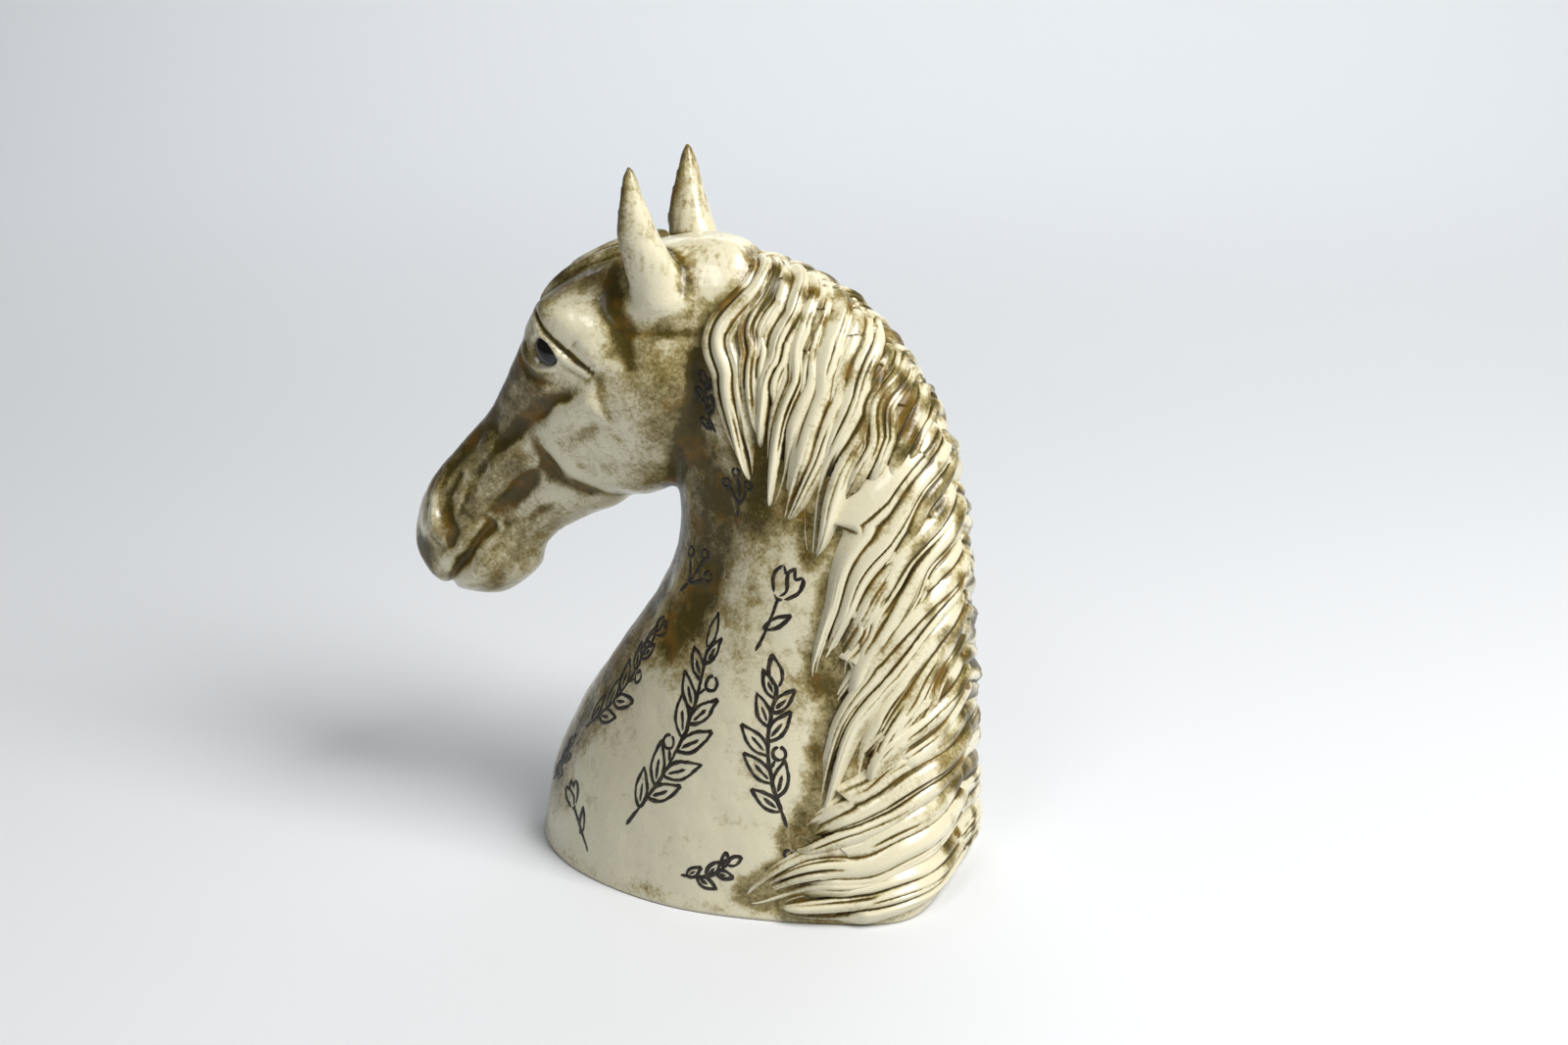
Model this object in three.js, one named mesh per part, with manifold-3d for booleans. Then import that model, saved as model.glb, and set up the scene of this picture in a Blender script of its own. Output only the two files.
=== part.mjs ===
// Glazed ceramic horse head on a hollow neck, built up from clay pieces: a neck shell that stands on its
// open rim, a head shell luted to its top, two ears, two eyes with their lids, a forelock and a mane of
// laid-on locks. Millimetres. The horse faces -X, its left side is -Y, and it stands on z = 0.
import * as THREE from "three";
import { mergeVertices } from "three/addons/utils/BufferGeometryUtils.js";
import Module from "manifold-3d";

const wasm = await Module();
wasm.setup();

// Main sizes. The tables below draw each form in percent of these, so a form grows with its own sizes and
// what sits on it keeps its place.
const NECK = { height: 222, length: 160, width: 114, wall: 7 };
const HEAD = { length: 185, depth: 84, width: 56, wall: 6, slope: 45 };
const EAR = { height: 57, depth: 22, width: 16, rim: 2.6, back: 3, floor: 4 };
// The luting gap left between any two pieces.
const LUTING_GAP = 0.3;

// Neck sections from the foot rim up to the poll. Each runs from a point on the throat line to a point on
// the crest line, both [percent of the length, percent of the height], and has its half widths, in percent
// of half the width, at the four NECK_SHARES of that run.
const NECK_SHARES = [0.13, 0.46, 0.86, 0.98];
const NECK_SECTIONS = [
  { throat: [0, 0], crest: [100, 0], halfWidths: [61.4, 100, 84.2, 63.2] },
  { throat: [3.1, 11.7], crest: [100.6, 13.5], halfWidths: [56.1, 93, 73.7, 49.1] },
  { throat: [10.6, 23.4], crest: [101.2, 27.9], halfWidths: [49.1, 84.2, 63.2, 36.8] },
  { throat: [20.6, 34.7], crest: [100.6, 42.3], halfWidths: [42.1, 73.7, 54.4, 28.1] },
  { throat: [30, 45], crest: [100, 56.8], halfWidths: [35.1, 64.9, 47.4, 21.1] },
  { throat: [35, 54.5], crest: [96.9, 70.3], halfWidths: [33.3, 57.9, 40.4, 17.5] },
  { throat: [35, 63.5], crest: [89.4, 82.4], halfWidths: [33.3, 50.9, 33.3, 14] },
  { throat: [32.5, 72.1], crest: [78.8, 91.4], halfWidths: [31.6, 45.6, 28.1, 12.3] },
  { throat: [29.4, 81.1], crest: [65, 97.3], halfWidths: [28.1, 40.4, 22.8, 10.5] },
  { throat: [27.5, 87.8], crest: [51.2, 100], halfWidths: [21.1, 29.8, 15.8, 7] },
];

// The head's own line starts at HEAD_START, in percent of the neck's length and height, and runs down and
// forward at the head's slope in degrees. Head sections stand across it: "at" is the place along it in
// percent of the head's length, gullet and crown are the heights of the lower and upper midline in percent
// of the depth, and the sides between them are jaw, cheek, cheekbone and temple, each a height and a half
// width in percent of half the head's width.
const HEAD_START = [36.9, 90.1];
const HEAD_SECTIONS = [
  { at: -19.5, gullet: -9.5, crown: 7.1, sides: [[-8.3, 14.3], [-3.6, 25], [2.4, 25], [6, 14.3]] },
  { at: -15.1, gullet: -26.2, crown: 17.9, sides: [[-21.4, 32.1], [-10.7, 53.6], [4.8, 50], [15.5, 32.1]] },
  { at: -7, gullet: -38.1, crown: 31, sides: [[-32.1, 42.9], [-16.7, 75], [7.1, 71.4], [26.2, 42.9]] },
  { at: 3.2, gullet: -47.6, crown: 41.7, sides: [[-40.5, 53.6], [-16.7, 92.9], [16.7, 89.3], [36.9, 53.6]] },
  { at: 13, gullet: -53.6, crown: 46.4, sides: [[-45.2, 57.1], [-11.9, 100], [23.8, 92.9], [41.7, 67.9]] },
  { at: 23.8, gullet: -50, crown: 42.9, sides: [[-42.9, 53.6], [-9.5, 96.4], [25, 92.9], [38.1, 71.4]] },
  { at: 33.5, gullet: -41.7, crown: 35.7, sides: [[-35.7, 42.9], [-10.7, 78.6], [19, 75], [33.3, 53.6]] },
  { at: 44.3, gullet: -33.3, crown: 31, sides: [[-27.4, 32.1], [-9.5, 57.1], [11.9, 60.7], [27.4, 39.3]] },
  { at: 55.1, gullet: -28.6, crown: 29.8, sides: [[-22.6, 28.6], [-8.3, 46.4], [10.7, 53.6], [26.2, 32.1]] },
  { at: 64.3, gullet: -33.3, crown: 28.6, sides: [[-25, 39.3], [-8.3, 53.6], [10.7, 57.1], [25, 35.7]] },
  { at: 71.4, gullet: -31, crown: 23.8, sides: [[-22.6, 39.3], [-8.3, 50], [7.1, 53.6], [20.2, 32.1]] },
  { at: 77.3, gullet: -20.2, crown: 14.3, sides: [[-15.5, 25], [-7.1, 39.3], [2.4, 39.3], [11.9, 25]] },
  { at: 80.5, gullet: -10.7, crown: 4.8, sides: [[-8.3, 10.7], [-4.8, 17.9], [-1.2, 17.9], [3.6, 10.7]] },
];
// Clay added to both sides of the head, or pressed in where the rise is below zero. Each lies along a line of
// places [percent of the length, percent of the depth]; how far it reaches and how high it rises are percent
// of the depth.
const HEAD_PADS = [
  { line: [[17.8, 31]], reach: 19, rise: 4.8 },
  { line: [[10.8, -21.4]], reach: 33.3, rise: 3 },
  { line: [[68.6, 10.7]], reach: 10.7, rise: 3 },
  { line: [[23.2, 7], [33, 11], [43, 17]], reach: 10, rise: -2.2 },
  { line: [[20.5, -1], [28, 2], [34.6, 3]], reach: 11, rise: 2 },
  { line: [[35.7, 3.6], [40, -14], [34, -38]], reach: 9, rise: -2.6 },
  { line: [[40, -9], [50, -6], [59, -8]], reach: 8, rise: -2.2 },
  { line: [[43, 5], [57, 3]], reach: 9, rise: 1.4 },
];
// The mouth is a groove along a line of such places. A nostril is a flattened hollow.
const MOUTH = { line: [[60, -10], [63, -11.6], [67, -11.6], [72, -8.5]], width: 3.6, depth: 2 };
const NOSTRIL = { place: [63.5, 11], halfLength: 5.2, halfHeight: 3.2, halfDepth: 2.4, sunk: 0.3 };

// Ear rings from the root up to the tip. Height and [front, back] are percent of the ear's height and depth
// from the start of the head's line, the half width is percent of half the ear's width, and "out" is how
// far the middle stands from the midline in percent of half the head's width.
const EAR_RINGS = [
  { z: 0, x: [-31.8, 18.2], halfWidth: 62.5, out: 64.3 },
  { z: 19.3, x: [-54.5, 40.9], halfWidth: 87.5, out: 67.9 },
  { z: 38.6, x: [-68.2, 31.8], halfWidth: 100, out: 71.4 },
  { z: 57.9, x: [-72.7, 9.1], halfWidth: 93.8, out: 78.6 },
  { z: 77.2, x: [-63.6, -13.6], halfWidth: 68.8, out: 85.7 },
  { z: 91.2, x: [-56.8, -27.3], halfWidth: 40, out: 89.3 },
  { z: 100, x: [-47.7, -38.6], halfWidth: 12.5, out: 91.1 },
];

// An eye is a flattened ball let into the side of the head at [percent of the length, percent of the
// depth], with a roll of clay laid round it, that much larger, for the lids.
const EYE = { place: [19.5, 27.4], halfLength: 5, halfHeight: 4.5, halfDepth: 3, proud: 1.2 };
const LIDS = { moreLength: 2, moreHeight: 0.9, roll: 1.3, lift: 0.4 };

// The mane on the left side, lock by lock from the poll down to the foot. A width is percent of the neck's
// height. A path runs from the crest to the tip in shares [round the neck from throat to throat, up the
// neck from foot to poll].
const MANE_RISE = 5;
const MANE_LOCKS = [
  { width: 5.9, path: [[0.5, 0.97], [0.26, 0.91], [0.21, 0.81], [0.195, 0.72], [0.185, 0.63]] },
  { width: 5.4, path: [[0.5, 0.95], [0.29, 0.89], [0.24, 0.82], [0.22, 0.75], [0.21, 0.69]], leftOnly: true },
  { width: 6.8, path: [[0.5, 0.92], [0.3, 0.86], [0.25, 0.8], [0.23, 0.74], [0.21, 0.67]] },
  { width: 6.8, path: [[0.5, 0.88], [0.31, 0.82], [0.26, 0.74], [0.23, 0.67], [0.2, 0.58]] },
  { width: 8.6, path: [[0.5, 0.84], [0.32, 0.78], [0.27, 0.71], [0.24, 0.63], [0.22, 0.55]] },
  { width: 9, path: [[0.5, 0.78], [0.34, 0.73], [0.28, 0.66], [0.25, 0.58], [0.24, 0.49]] },
  { width: 8.1, path: [[0.5, 0.71], [0.35, 0.68], [0.3, 0.62], [0.27, 0.57], [0.25, 0.51]] },
  { width: 8.1, path: [[0.5, 0.65], [0.39, 0.63], [0.34, 0.6], [0.3, 0.56]] },
  { width: 10.8, path: [[0.5, 0.58], [0.35, 0.55], [0.29, 0.48], [0.27, 0.4], [0.26, 0.31]] },
  { width: 9, path: [[0.5, 0.5], [0.36, 0.47], [0.32, 0.42], [0.29, 0.35], [0.28, 0.28]] },
  { width: 9, path: [[0.5, 0.43], [0.38, 0.4], [0.32, 0.35], [0.28, 0.27], [0.27, 0.14]] },
  { width: 9, path: [[0.5, 0.36], [0.39, 0.33], [0.35, 0.28], [0.32, 0.23], [0.3, 0.17]] },
  { width: 9.9, path: [[0.5, 0.28], [0.41, 0.27], [0.36, 0.24], [0.32, 0.21], [0.3, 0.18]] },
  { width: 10.4, path: [[0.5, 0.2], [0.38, 0.19], [0.32, 0.16], [0.28, 0.13], [0.26, 0.11]] },
  { width: 9.9, path: [[0.5, 0.12], [0.37, 0.11], [0.31, 0.08], [0.27, 0.06], [0.24, 0.03]] },
  { width: 7.7, path: [[0.5, 0.045], [0.38, 0.05], [0.32, 0.04], [0.28, 0.03], [0.26, 0.02]] },
];
// The back of a lock from side to side, three strands with a groove between each two:
// [share of the half width, share of the rise]. The grooves sway by that share on their way to the tip.
const LOCK_BACK = [[1, 0.4], [0.68, 0.95], [0.32, 0.64], [0, 1], [-0.34, 0.66], [-0.7, 0.92], [-1, 0.4]];
const STRAND_SWAY = 0.12;
// The room that its neighbours leave for a lock, over all its strands.
const LOCK_ROOM = [[1, 0.5], [0.8, 1], [0.35, 1], [0, 1.04], [-0.35, 1], [-0.8, 1], [-1, 0.5]];
// A short lock of the mane brought forward between the ears onto the forehead.
const FORELOCK = { width: 20, rise: 3, path: [[0.5, 0.17], [0.5, 0.26], [0.5, 0.34], [0.5, 0.41]] };
// The lowest lock stops this far above the table. A lock is first made SUNK into the clay it lies on, so
// that trimming it against that clay leaves an underside that follows it.
const FOOT_GAP = 0.8;
const SUNK = 1.2;

const percent = (share, size) => (share / 100) * size;
const headAxis = new THREE.Vector3(
  -Math.cos(THREE.MathUtils.degToRad(HEAD.slope)), 0, -Math.sin(THREE.MathUtils.degToRad(HEAD.slope)));
const headUp = new THREE.Vector3(headAxis.z, 0, -headAxis.x);
const headStart = new THREE.Vector3(
  percent(HEAD_START[0], NECK.length), 0, percent(HEAD_START[1], NECK.height));

// A point of a head section, given in percent, on the side -1 or 1 or on the midline 0.
function headPoint(at, height, halfWidth, side) {
  return headStart.clone().addScaledVector(headAxis, percent(at, HEAD.length))
    .addScaledVector(headUp, percent(height, HEAD.depth)).setY(side * percent(halfWidth, HEAD.width / 2));
}

// The rails of a body that is alike on both sides, in order round it: one midline, down the left side to
// the other midline and back up the right side. Each rail lists its point in every section.
function mirroredRails(sections, halfRails) {
  const left = halfRails.map((point) => sections.map((s) => point(s, -1)));
  const right = halfRails.slice(1, -1).map((point) => sections.map((s) => point(s, 1))).reverse();
  return [...left, ...right];
}

function neckRails() {
  const along = ({ throat, crest }, share, y) => new THREE.Vector3(
    percent(THREE.MathUtils.lerp(throat[0], crest[0], share), NECK.length), y,
    percent(THREE.MathUtils.lerp(throat[1], crest[1], share), NECK.height));
  const half = (s, i) => percent(s.halfWidths[i], NECK.width / 2);
  return mirroredRails(NECK_SECTIONS, [
    (s) => along(s, 0, 0),
    ...NECK_SHARES.map((share, i) => (s, side) => along(s, share, side * half(s, i))),
    (s) => along(s, 1, 0),
  ]);
}

function headRails() {
  return mirroredRails(HEAD_SECTIONS, [
    (s) => headPoint(s.at, s.gullet, 0, 0),
    ...[0, 1, 2, 3].map((i) => (s, side) => headPoint(s.at, ...s.sides[i], side)),
    (s) => headPoint(s.at, s.crown, 0, 0),
  ]);
}

// A surface through rails: u goes once round it and v along it, both from 0 to 1.
function railSurface(rails) {
  const lines = rails.map((points) => new THREE.CatmullRomCurve3(points, false, "centripetal"));
  return surfaceFrom((u, v) => {
    const ring = new THREE.CatmullRomCurve3(lines.map((line) => line.getPoint(v)), true, "centripetal");
    return ring.getPoint(((u % 1) + 1) % 1);
  });
}

function surfaceFrom(pointAt) {
  const point = (u, v) => pointAt(u, THREE.MathUtils.clamp(v, 0, 1));
  const tangents = (u, v) => {
    const step = 0.005;
    const low = Math.max(0, v - step);
    const high = Math.min(1, v + step);
    return {
      roundU: point(u + step, v).sub(point(u - step, v)).divideScalar(2 * step),
      alongV: point(u, high).sub(point(u, low)).divideScalar(high - low),
    };
  };
  const normal = (u, v) => {
    const { roundU, alongV } = tangents(u, v);
    return roundU.cross(alongV).normalize();
  };
  return { point, tangents, normal };
}

function padded(surface, pads) {
  return surfaceFrom((u, v) => {
    const p = surface.point(u, v);
    const from = p.clone().sub(headStart);
    const place = new THREE.Vector2(from.dot(headAxis), from.dot(headUp));
    const rise = pads.reduce((sum, { line, reach, rise }) => {
      const far = distanceToLine(place, line.map(sidePlace)) / percent(reach, HEAD.depth);
      return sum + (far < 1 ? percent(rise, HEAD.depth) * (1 - far * far) ** 2 : 0);
    }, 0);
    return rise ? p.addScaledVector(surface.normal(u, v), rise) : p;
  });
}

// A place on the head's side in millimetres along the head line and above it.
function sidePlace([at, height]) {
  return new THREE.Vector2(percent(at, HEAD.length), percent(height, HEAD.depth));
}

function distanceToLine(place, points) {
  return points.slice(1).reduce((least, end, i) => {
    const run = end.clone().sub(points[i]);
    const share = THREE.MathUtils.clamp(place.clone().sub(points[i]).dot(run) / run.lengthSq(), 0, 1);
    return Math.min(least, place.distanceTo(points[i].clone().addScaledVector(run, share)));
  }, place.distanceTo(points[0]));
}

// A closed body from rings of points that all have the same count, with a fan over each end ring.
function ringBody(rings) {
  const count = rings[0].length;
  const points = rings.flat();
  const index = [];
  for (let i = 0; i + 1 < rings.length; i++) {
    for (let j = 0; j < count; j++) {
      const a = i * count + j;
      const b = i * count + ((j + 1) % count);
      index.push(a, b, b + count, a, b + count, a + count);
    }
  }
  for (const [i, flip] of [[0, true], [rings.length - 1, false]]) {
    points.push(rings[i].reduce((sum, p) => sum.add(p), new THREE.Vector3()).divideScalar(count));
    for (let j = 0; j < count; j++) {
      const a = i * count + j;
      const b = i * count + ((j + 1) % count);
      index.push(points.length - 1, ...(flip ? [b, a] : [a, b]));
    }
  }
  const geometry = new THREE.BufferGeometry().setFromPoints(points);
  geometry.setIndex(index);
  return geometry;
}

// The body inside a surface, moved out by offset. A body with openBy runs on that far past its first ring.
function surfaceBody(surface, { around, along, offset = 0, to = 1, openBy }) {
  const rings = [];
  for (let i = 0; i <= along; i++) {
    const v = (to * i) / along;
    rings.push(Array.from({ length: around }, (_, j) =>
      surface.point(j / around, v).addScaledVector(surface.normal(j / around, v), offset)));
  }
  if (openBy) rings.unshift(rings[0].map((p) => p.clone().add(openBy)));
  return ringBody(rings);
}

function toSolid(geometry) {
  const bare = new THREE.BufferGeometry().setAttribute("position", geometry.getAttribute("position"));
  bare.setIndex(geometry.index);
  const merged = mergeVertices(bare, 1e-3);
  const triVerts = new Uint32Array(merged.index.array);
  const make = () => new wasm.Manifold(new wasm.Mesh({
    numProp: 3, vertProperties: merged.attributes.position.array, triVerts }));
  const solid = make();
  if (solid.volume() > 0) return solid;
  for (let k = 0; k < triVerts.length; k += 3) {
    [triVerts[k + 1], triVerts[k + 2]] = [triVerts[k + 2], triVerts[k + 1]];
  }
  return make();
}

function toGeometry(solid) {
  const mesh = largestBody(solid).getMesh();
  const geometry = new THREE.BufferGeometry();
  geometry.setAttribute("position", new THREE.BufferAttribute(mesh.vertProperties, 3));
  geometry.setIndex(new THREE.BufferAttribute(mesh.triVerts, 1));
  return geometry;
}

function largestBody(solid) {
  return solid.decompose().sort((a, b) => b.volume() - a.volume())[0];
}

function slab(x, y, z) {
  const size = [x, y, z].map(([low, high]) => high - low);
  const middle = [x, y, z].map(([low, high]) => (high + low) / 2);
  return toSolid(new THREE.BoxGeometry(...size).translate(...middle));
}

const neck = railSurface(neckRails());
const head = padded(railSurface(headRails()), HEAD_PADS);
const headMesh = { around: 32, along: 36 };
const neckMesh = { around: 30, along: 18 };
const headRoom = toSolid(surfaceBody(head, { ...headMesh, offset: LUTING_GAP }));
const neckRoom = toSolid(surfaceBody(neck, { ...neckMesh, offset: LUTING_GAP }));

// A body swept along a path of [u, v] points of a surface. Its ring at t is a list of
// [share of the half width, height over the surface], and halfWidth(t) is in millimetres.
function sweptOn(surface, path, stations, halfWidth, ring, longer = 0) {
  const line = new THREE.SplineCurve(path.map(([u, v]) => new THREE.Vector2(u, v)));
  const rings = [];
  for (let i = 0; i <= stations; i++) {
    const t = i / stations;
    const { x: u, y: v } = line.getPoint(t);
    const ahead = line.getPoint(Math.min(1, t + 0.01)).sub(line.getPoint(Math.max(0, t - 0.01)));
    const { roundU, alongV } = surface.tangents(u, v);
    const run = roundU.clone().multiplyScalar(ahead.x).addScaledVector(alongV, ahead.y).normalize();
    const sideways = surface.normal(u, v).cross(run).normalize();
    const onward = i === 0 ? -longer : i === stations ? longer : 0;
    rings.push(ring(t).map(([side, height]) => {
      const [du, dv] = onSurface(roundU, alongV, sideways.clone().multiplyScalar(side * halfWidth(t)));
      return surface.point(u + du, v + dv).addScaledVector(surface.normal(u + du, v + dv), height)
        .addScaledVector(run, onward);
    }));
  }
  return toSolid(ringBody(rings));
}

// A lock, sunk into the surface and not yet trimmed. It is widest before the middle and narrows to the tip.
// With grow it is the room for that lock, with a gap that wide.
function lock(surface, { path, width, rise, grow = 0, stations = 8 }) {
  const halfWidth = (t) =>
    (width / 2) * (0.9 + 0.1 * Math.sin(Math.PI * Math.min(1, t * 1.5))) * taper(t) + grow;
  const ring = (t) => {
    const height = rise * (0.35 + 0.65 * taper(t)) + grow;
    const sway = grow ? 0 : STRAND_SWAY * Math.sin(2 * Math.PI * t);
    return [[-1, -SUNK], [1, -SUNK], ...(grow ? LOCK_ROOM : LOCK_BACK).map(([side, share]) =>
      [side + sway * (1 - side * side), height * share])];
  };
  return sweptOn(surface, path, stations, halfWidth, ring, grow);
}

function taper(t) {
  return t < 0.55 ? 1 : 0.14 + 0.86 * Math.cos(((t - 0.55) / 0.45) * (Math.PI / 2)) ** 0.8;
}

// The step in u and v that moves a point of the surface by a small vector lying in it.
function onSurface(roundU, alongV, move) {
  const uu = roundU.dot(roundU);
  const uv = roundU.dot(alongV);
  const vv = alongV.dot(alongV);
  const mu = move.dot(roundU);
  const mv = move.dot(alongV);
  const scale = 1 / (uu * vv - uv * uv);
  return [(mu * vv - mv * uv) * scale, (mv * uu - mu * uv) * scale];
}

// One ring of an ear, narrowed on both sides and moved forward.
function earRing({ z, x, halfWidth, out }, side, narrower, forward, raised = 0) {
  const middle = headStart.x + percent((x[0] + x[1]) / 2, EAR.depth) - forward;
  const deep = percent((x[1] - x[0]) / 2, EAR.depth);
  const wide = Math.max(0.3, percent(halfWidth, EAR.width / 2) - narrower);
  const across = percent(out, HEAD.width / 2);
  const height = headStart.z + percent(z, EAR.height) + raised;
  return Array.from({ length: 10 }, (_, j) => {
    const angle = (j / 10) * 2 * Math.PI;
    return new THREE.Vector3(
      middle - deep * Math.cos(angle), side * (across + wide * Math.sin(angle)), height);
  });
}

// An ear is scooped out from the front between its rims, from the third ring up to the last but one.
function ear(side) {
  const outer = toSolid(ringBody(EAR_RINGS.map((r) => earRing(r, side, 0, 0))));
  const scoop = toSolid(ringBody(EAR_RINGS.slice(2, -1).map((r, i) =>
    earRing(r, side, EAR.rim, EAR.back, i === 0 ? EAR.floor : 0))));
  return outer.subtract(scoop).subtract(headRoom);
}

// The place on the left of the head at a share of its length along the head line and of its depth above it.
function placeOnHead([at, height]) {
  let best = { u: 0.3, v: (at + 20) / 100 };
  for (const step of [0.02, 0.004, 0.0008]) {
    const { u: u0, v: v0 } = best;
    best = { miss: Infinity };
    for (let u = u0 - 10 * step; u <= u0 + 10 * step; u += step) {
      for (let v = v0 - 15 * step; v <= v0 + 15 * step; v += step) {
        const from = head.point(u, v).sub(headStart);
        const miss = Math.hypot(
          from.dot(headAxis) - percent(at, HEAD.length), from.dot(headUp) - percent(height, HEAD.depth));
        if (miss < best.miss) best = { u, v, miss };
      }
    }
  }
  return { u: best.u, v: best.v, point: head.point(best.u, best.v), normal: head.normal(best.u, best.v) };
}

// A geometry made with its length along x and its face along z, turned to lie on the head at a place.
function onHead(geometry, { point, normal }, lift, side) {
  const across = new THREE.Vector3().crossVectors(normal, headAxis).normalize();
  const length = new THREE.Vector3().crossVectors(across, normal);
  geometry.applyMatrix4(new THREE.Matrix4().makeBasis(length, across, normal));
  geometry.translate(...point.clone().addScaledVector(normal, lift).toArray());
  return side > 0 ? geometry.scale(1, -1, 1) : geometry;
}

function eyeball(place, side, grow) {
  const ball = new THREE.SphereGeometry(1, 14, 8)
    .scale(EYE.halfLength + grow, EYE.halfHeight + grow, EYE.halfDepth + grow);
  return toSolid(onHead(ball, place, EYE.proud - EYE.halfDepth, side));
}

function nostril(place, side) {
  const { halfLength, halfHeight, halfDepth, sunk } = NOSTRIL;
  const hollow = new THREE.SphereGeometry(1, 12, 8).scale(halfLength, halfHeight, halfDepth);
  return toSolid(onHead(hollow, place, -sunk, side));
}

// A groove with a sharp bottom, closed over above the surface.
function mouth(places, side) {
  const path = places.map(({ u, v }) => [side < 0 ? u : 1 - u, v]);
  const narrowing = (t) => (MOUTH.width / 2) * (0.55 + 0.45 * Math.sin(Math.PI * t));
  const { depth } = MOUTH;
  return sweptOn(head, path, 10, narrowing, () => [[-1, 1], [-1, 0], [0, -depth], [1, 0], [1, 1]]);
}

function lids(place, side) {
  const halfLength = EYE.halfLength + LIDS.moreLength;
  const halfHeight = EYE.halfHeight + LIDS.moreHeight;
  const roll = new THREE.TorusGeometry(1, LIDS.roll / halfLength, 6, 18)
    .scale(halfLength, halfHeight, halfLength);
  return toSolid(onHead(roll, place, LIDS.lift, side)).subtract(headRoom)
    .subtract(eyeball(place, side, LUTING_GAP));
}

// The two shells. The hollows open into one another, and the neck's runs out through the foot.
const neckCavity = toSolid(surfaceBody(neck, {
  around: 16, along: 9, offset: -NECK.wall, to: 0.93, openBy: new THREE.Vector3(0, 0, -20) }));
const headCavity = toSolid(surfaceBody(head, { around: 16, along: 10, offset: -HEAD.wall, to: 0.8 }));
const eyePlace = placeOnHead(EYE.place);
const sockets = eyeball(eyePlace, -1, LUTING_GAP).add(eyeball(eyePlace, 1, LUTING_GAP));
const neckShell = toSolid(surfaceBody(neck, neckMesh)).subtract(neckCavity).subtract(headRoom);
const nostrilPlace = placeOnHead(NOSTRIL.place);
const mouthPlaces = MOUTH.line.map(placeOnHead);
const headShell = [-1, 1].reduce(
  (solid, side) => solid.subtract(nostril(nostrilPlace, side)).subtract(mouth(mouthPlaces, side)),
  toSolid(surfaceBody(head, headMesh)).subtract(headCavity).subtract(neckCavity).subtract(sockets));

// The mane. Where two locks meet, the one nearer the poll gives way.
function maneLocks(side) {
  const paths = MANE_LOCKS.filter(({ leftOnly }) => side < 0 || !leftOnly).map(({ width, path }) => ({
    width: percent(width, NECK.height),
    rise: MANE_RISE,
    path: path.map(([u, v]) => [side < 0 ? u : 1 - u, v]),
  }));
  const far = 2 * (NECK.height + HEAD.length);
  const otherSide = side < 0 ? [-LUTING_GAP / 2, far] : [-far, LUTING_GAP / 2];
  const table = slab([-far, far], [-far, far], [-far, FOOT_GAP]);
  const clear = slab([-far, far], otherSide, [-far, far]).add(table).add(headRoom).add(neckRoom);
  const room = (path) => lock(neck, { ...path, grow: LUTING_GAP });
  return paths.map((path, i) => {
    const lower = paths.slice(i + 1, i + 5);
    return lower.reduce((solid, next) => solid.subtract(room(next)), lock(neck, path)).subtract(clear);
  });
}

const glazes = {
  cream: new THREE.MeshStandardMaterial({ color: 0xd8d2bf, roughness: 0.25, metalness: 0 }),
  ochre: new THREE.MeshStandardMaterial({ color: 0xcfc3a2, roughness: 0.3, metalness: 0 }),
  black: new THREE.MeshStandardMaterial({ color: 0x1b1712, roughness: 0.15, metalness: 0 }),
};
const bust = new THREE.Group();
function add(name, solid, glaze) {
  const mesh = new THREE.Mesh(toGeometry(solid), glazes[glaze]);
  mesh.name = name;
  bust.add(mesh);
}

add("neck_shell", neckShell, "cream");
add("head_shell", headShell, "cream");
for (const [name, side] of [["left", -1], ["right", 1]]) {
  add(`ear_${name}`, ear(side), "cream");
  add(`eye_${name}`, eyeball(eyePlace, side, 0), "black");
  add(`eyelids_${name}`, lids(eyePlace, side), "cream");
  maneLocks(side).forEach((solid, i) => {
    add(`mane_${name}_${String(i + 1).padStart(2, "0")}`, solid, "ochre");
  });
}
add("forelock", lock(head, FORELOCK).subtract(headRoom), "ochre");

// The origin is the middle of the foot of the finished bust's bounding box.
const bounds = new THREE.Box3().setFromObject(bust);
bust.position.set(-(bounds.min.x + bounds.max.x) / 2, -(bounds.min.y + bounds.max.y) / 2, -bounds.min.z);

export default bust;
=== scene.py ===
"""Looks of a glazed ceramic horse head ornament: one skin of hand-built clay, a mane of laid-on locks, black
glazed eyes and brushed line drawing. It is laid out as an add-on and run as a script. Lengths in the tables
are percent of the main sizes or millimetres; everything that Blender gets is in metres.
The horse looks along -X, its left side is -Y, and it stands on z = 0."""
import math

import bmesh
import bpy
import numpy as np
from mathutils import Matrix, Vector
from mathutils.bvhtree import BVHTree


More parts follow.
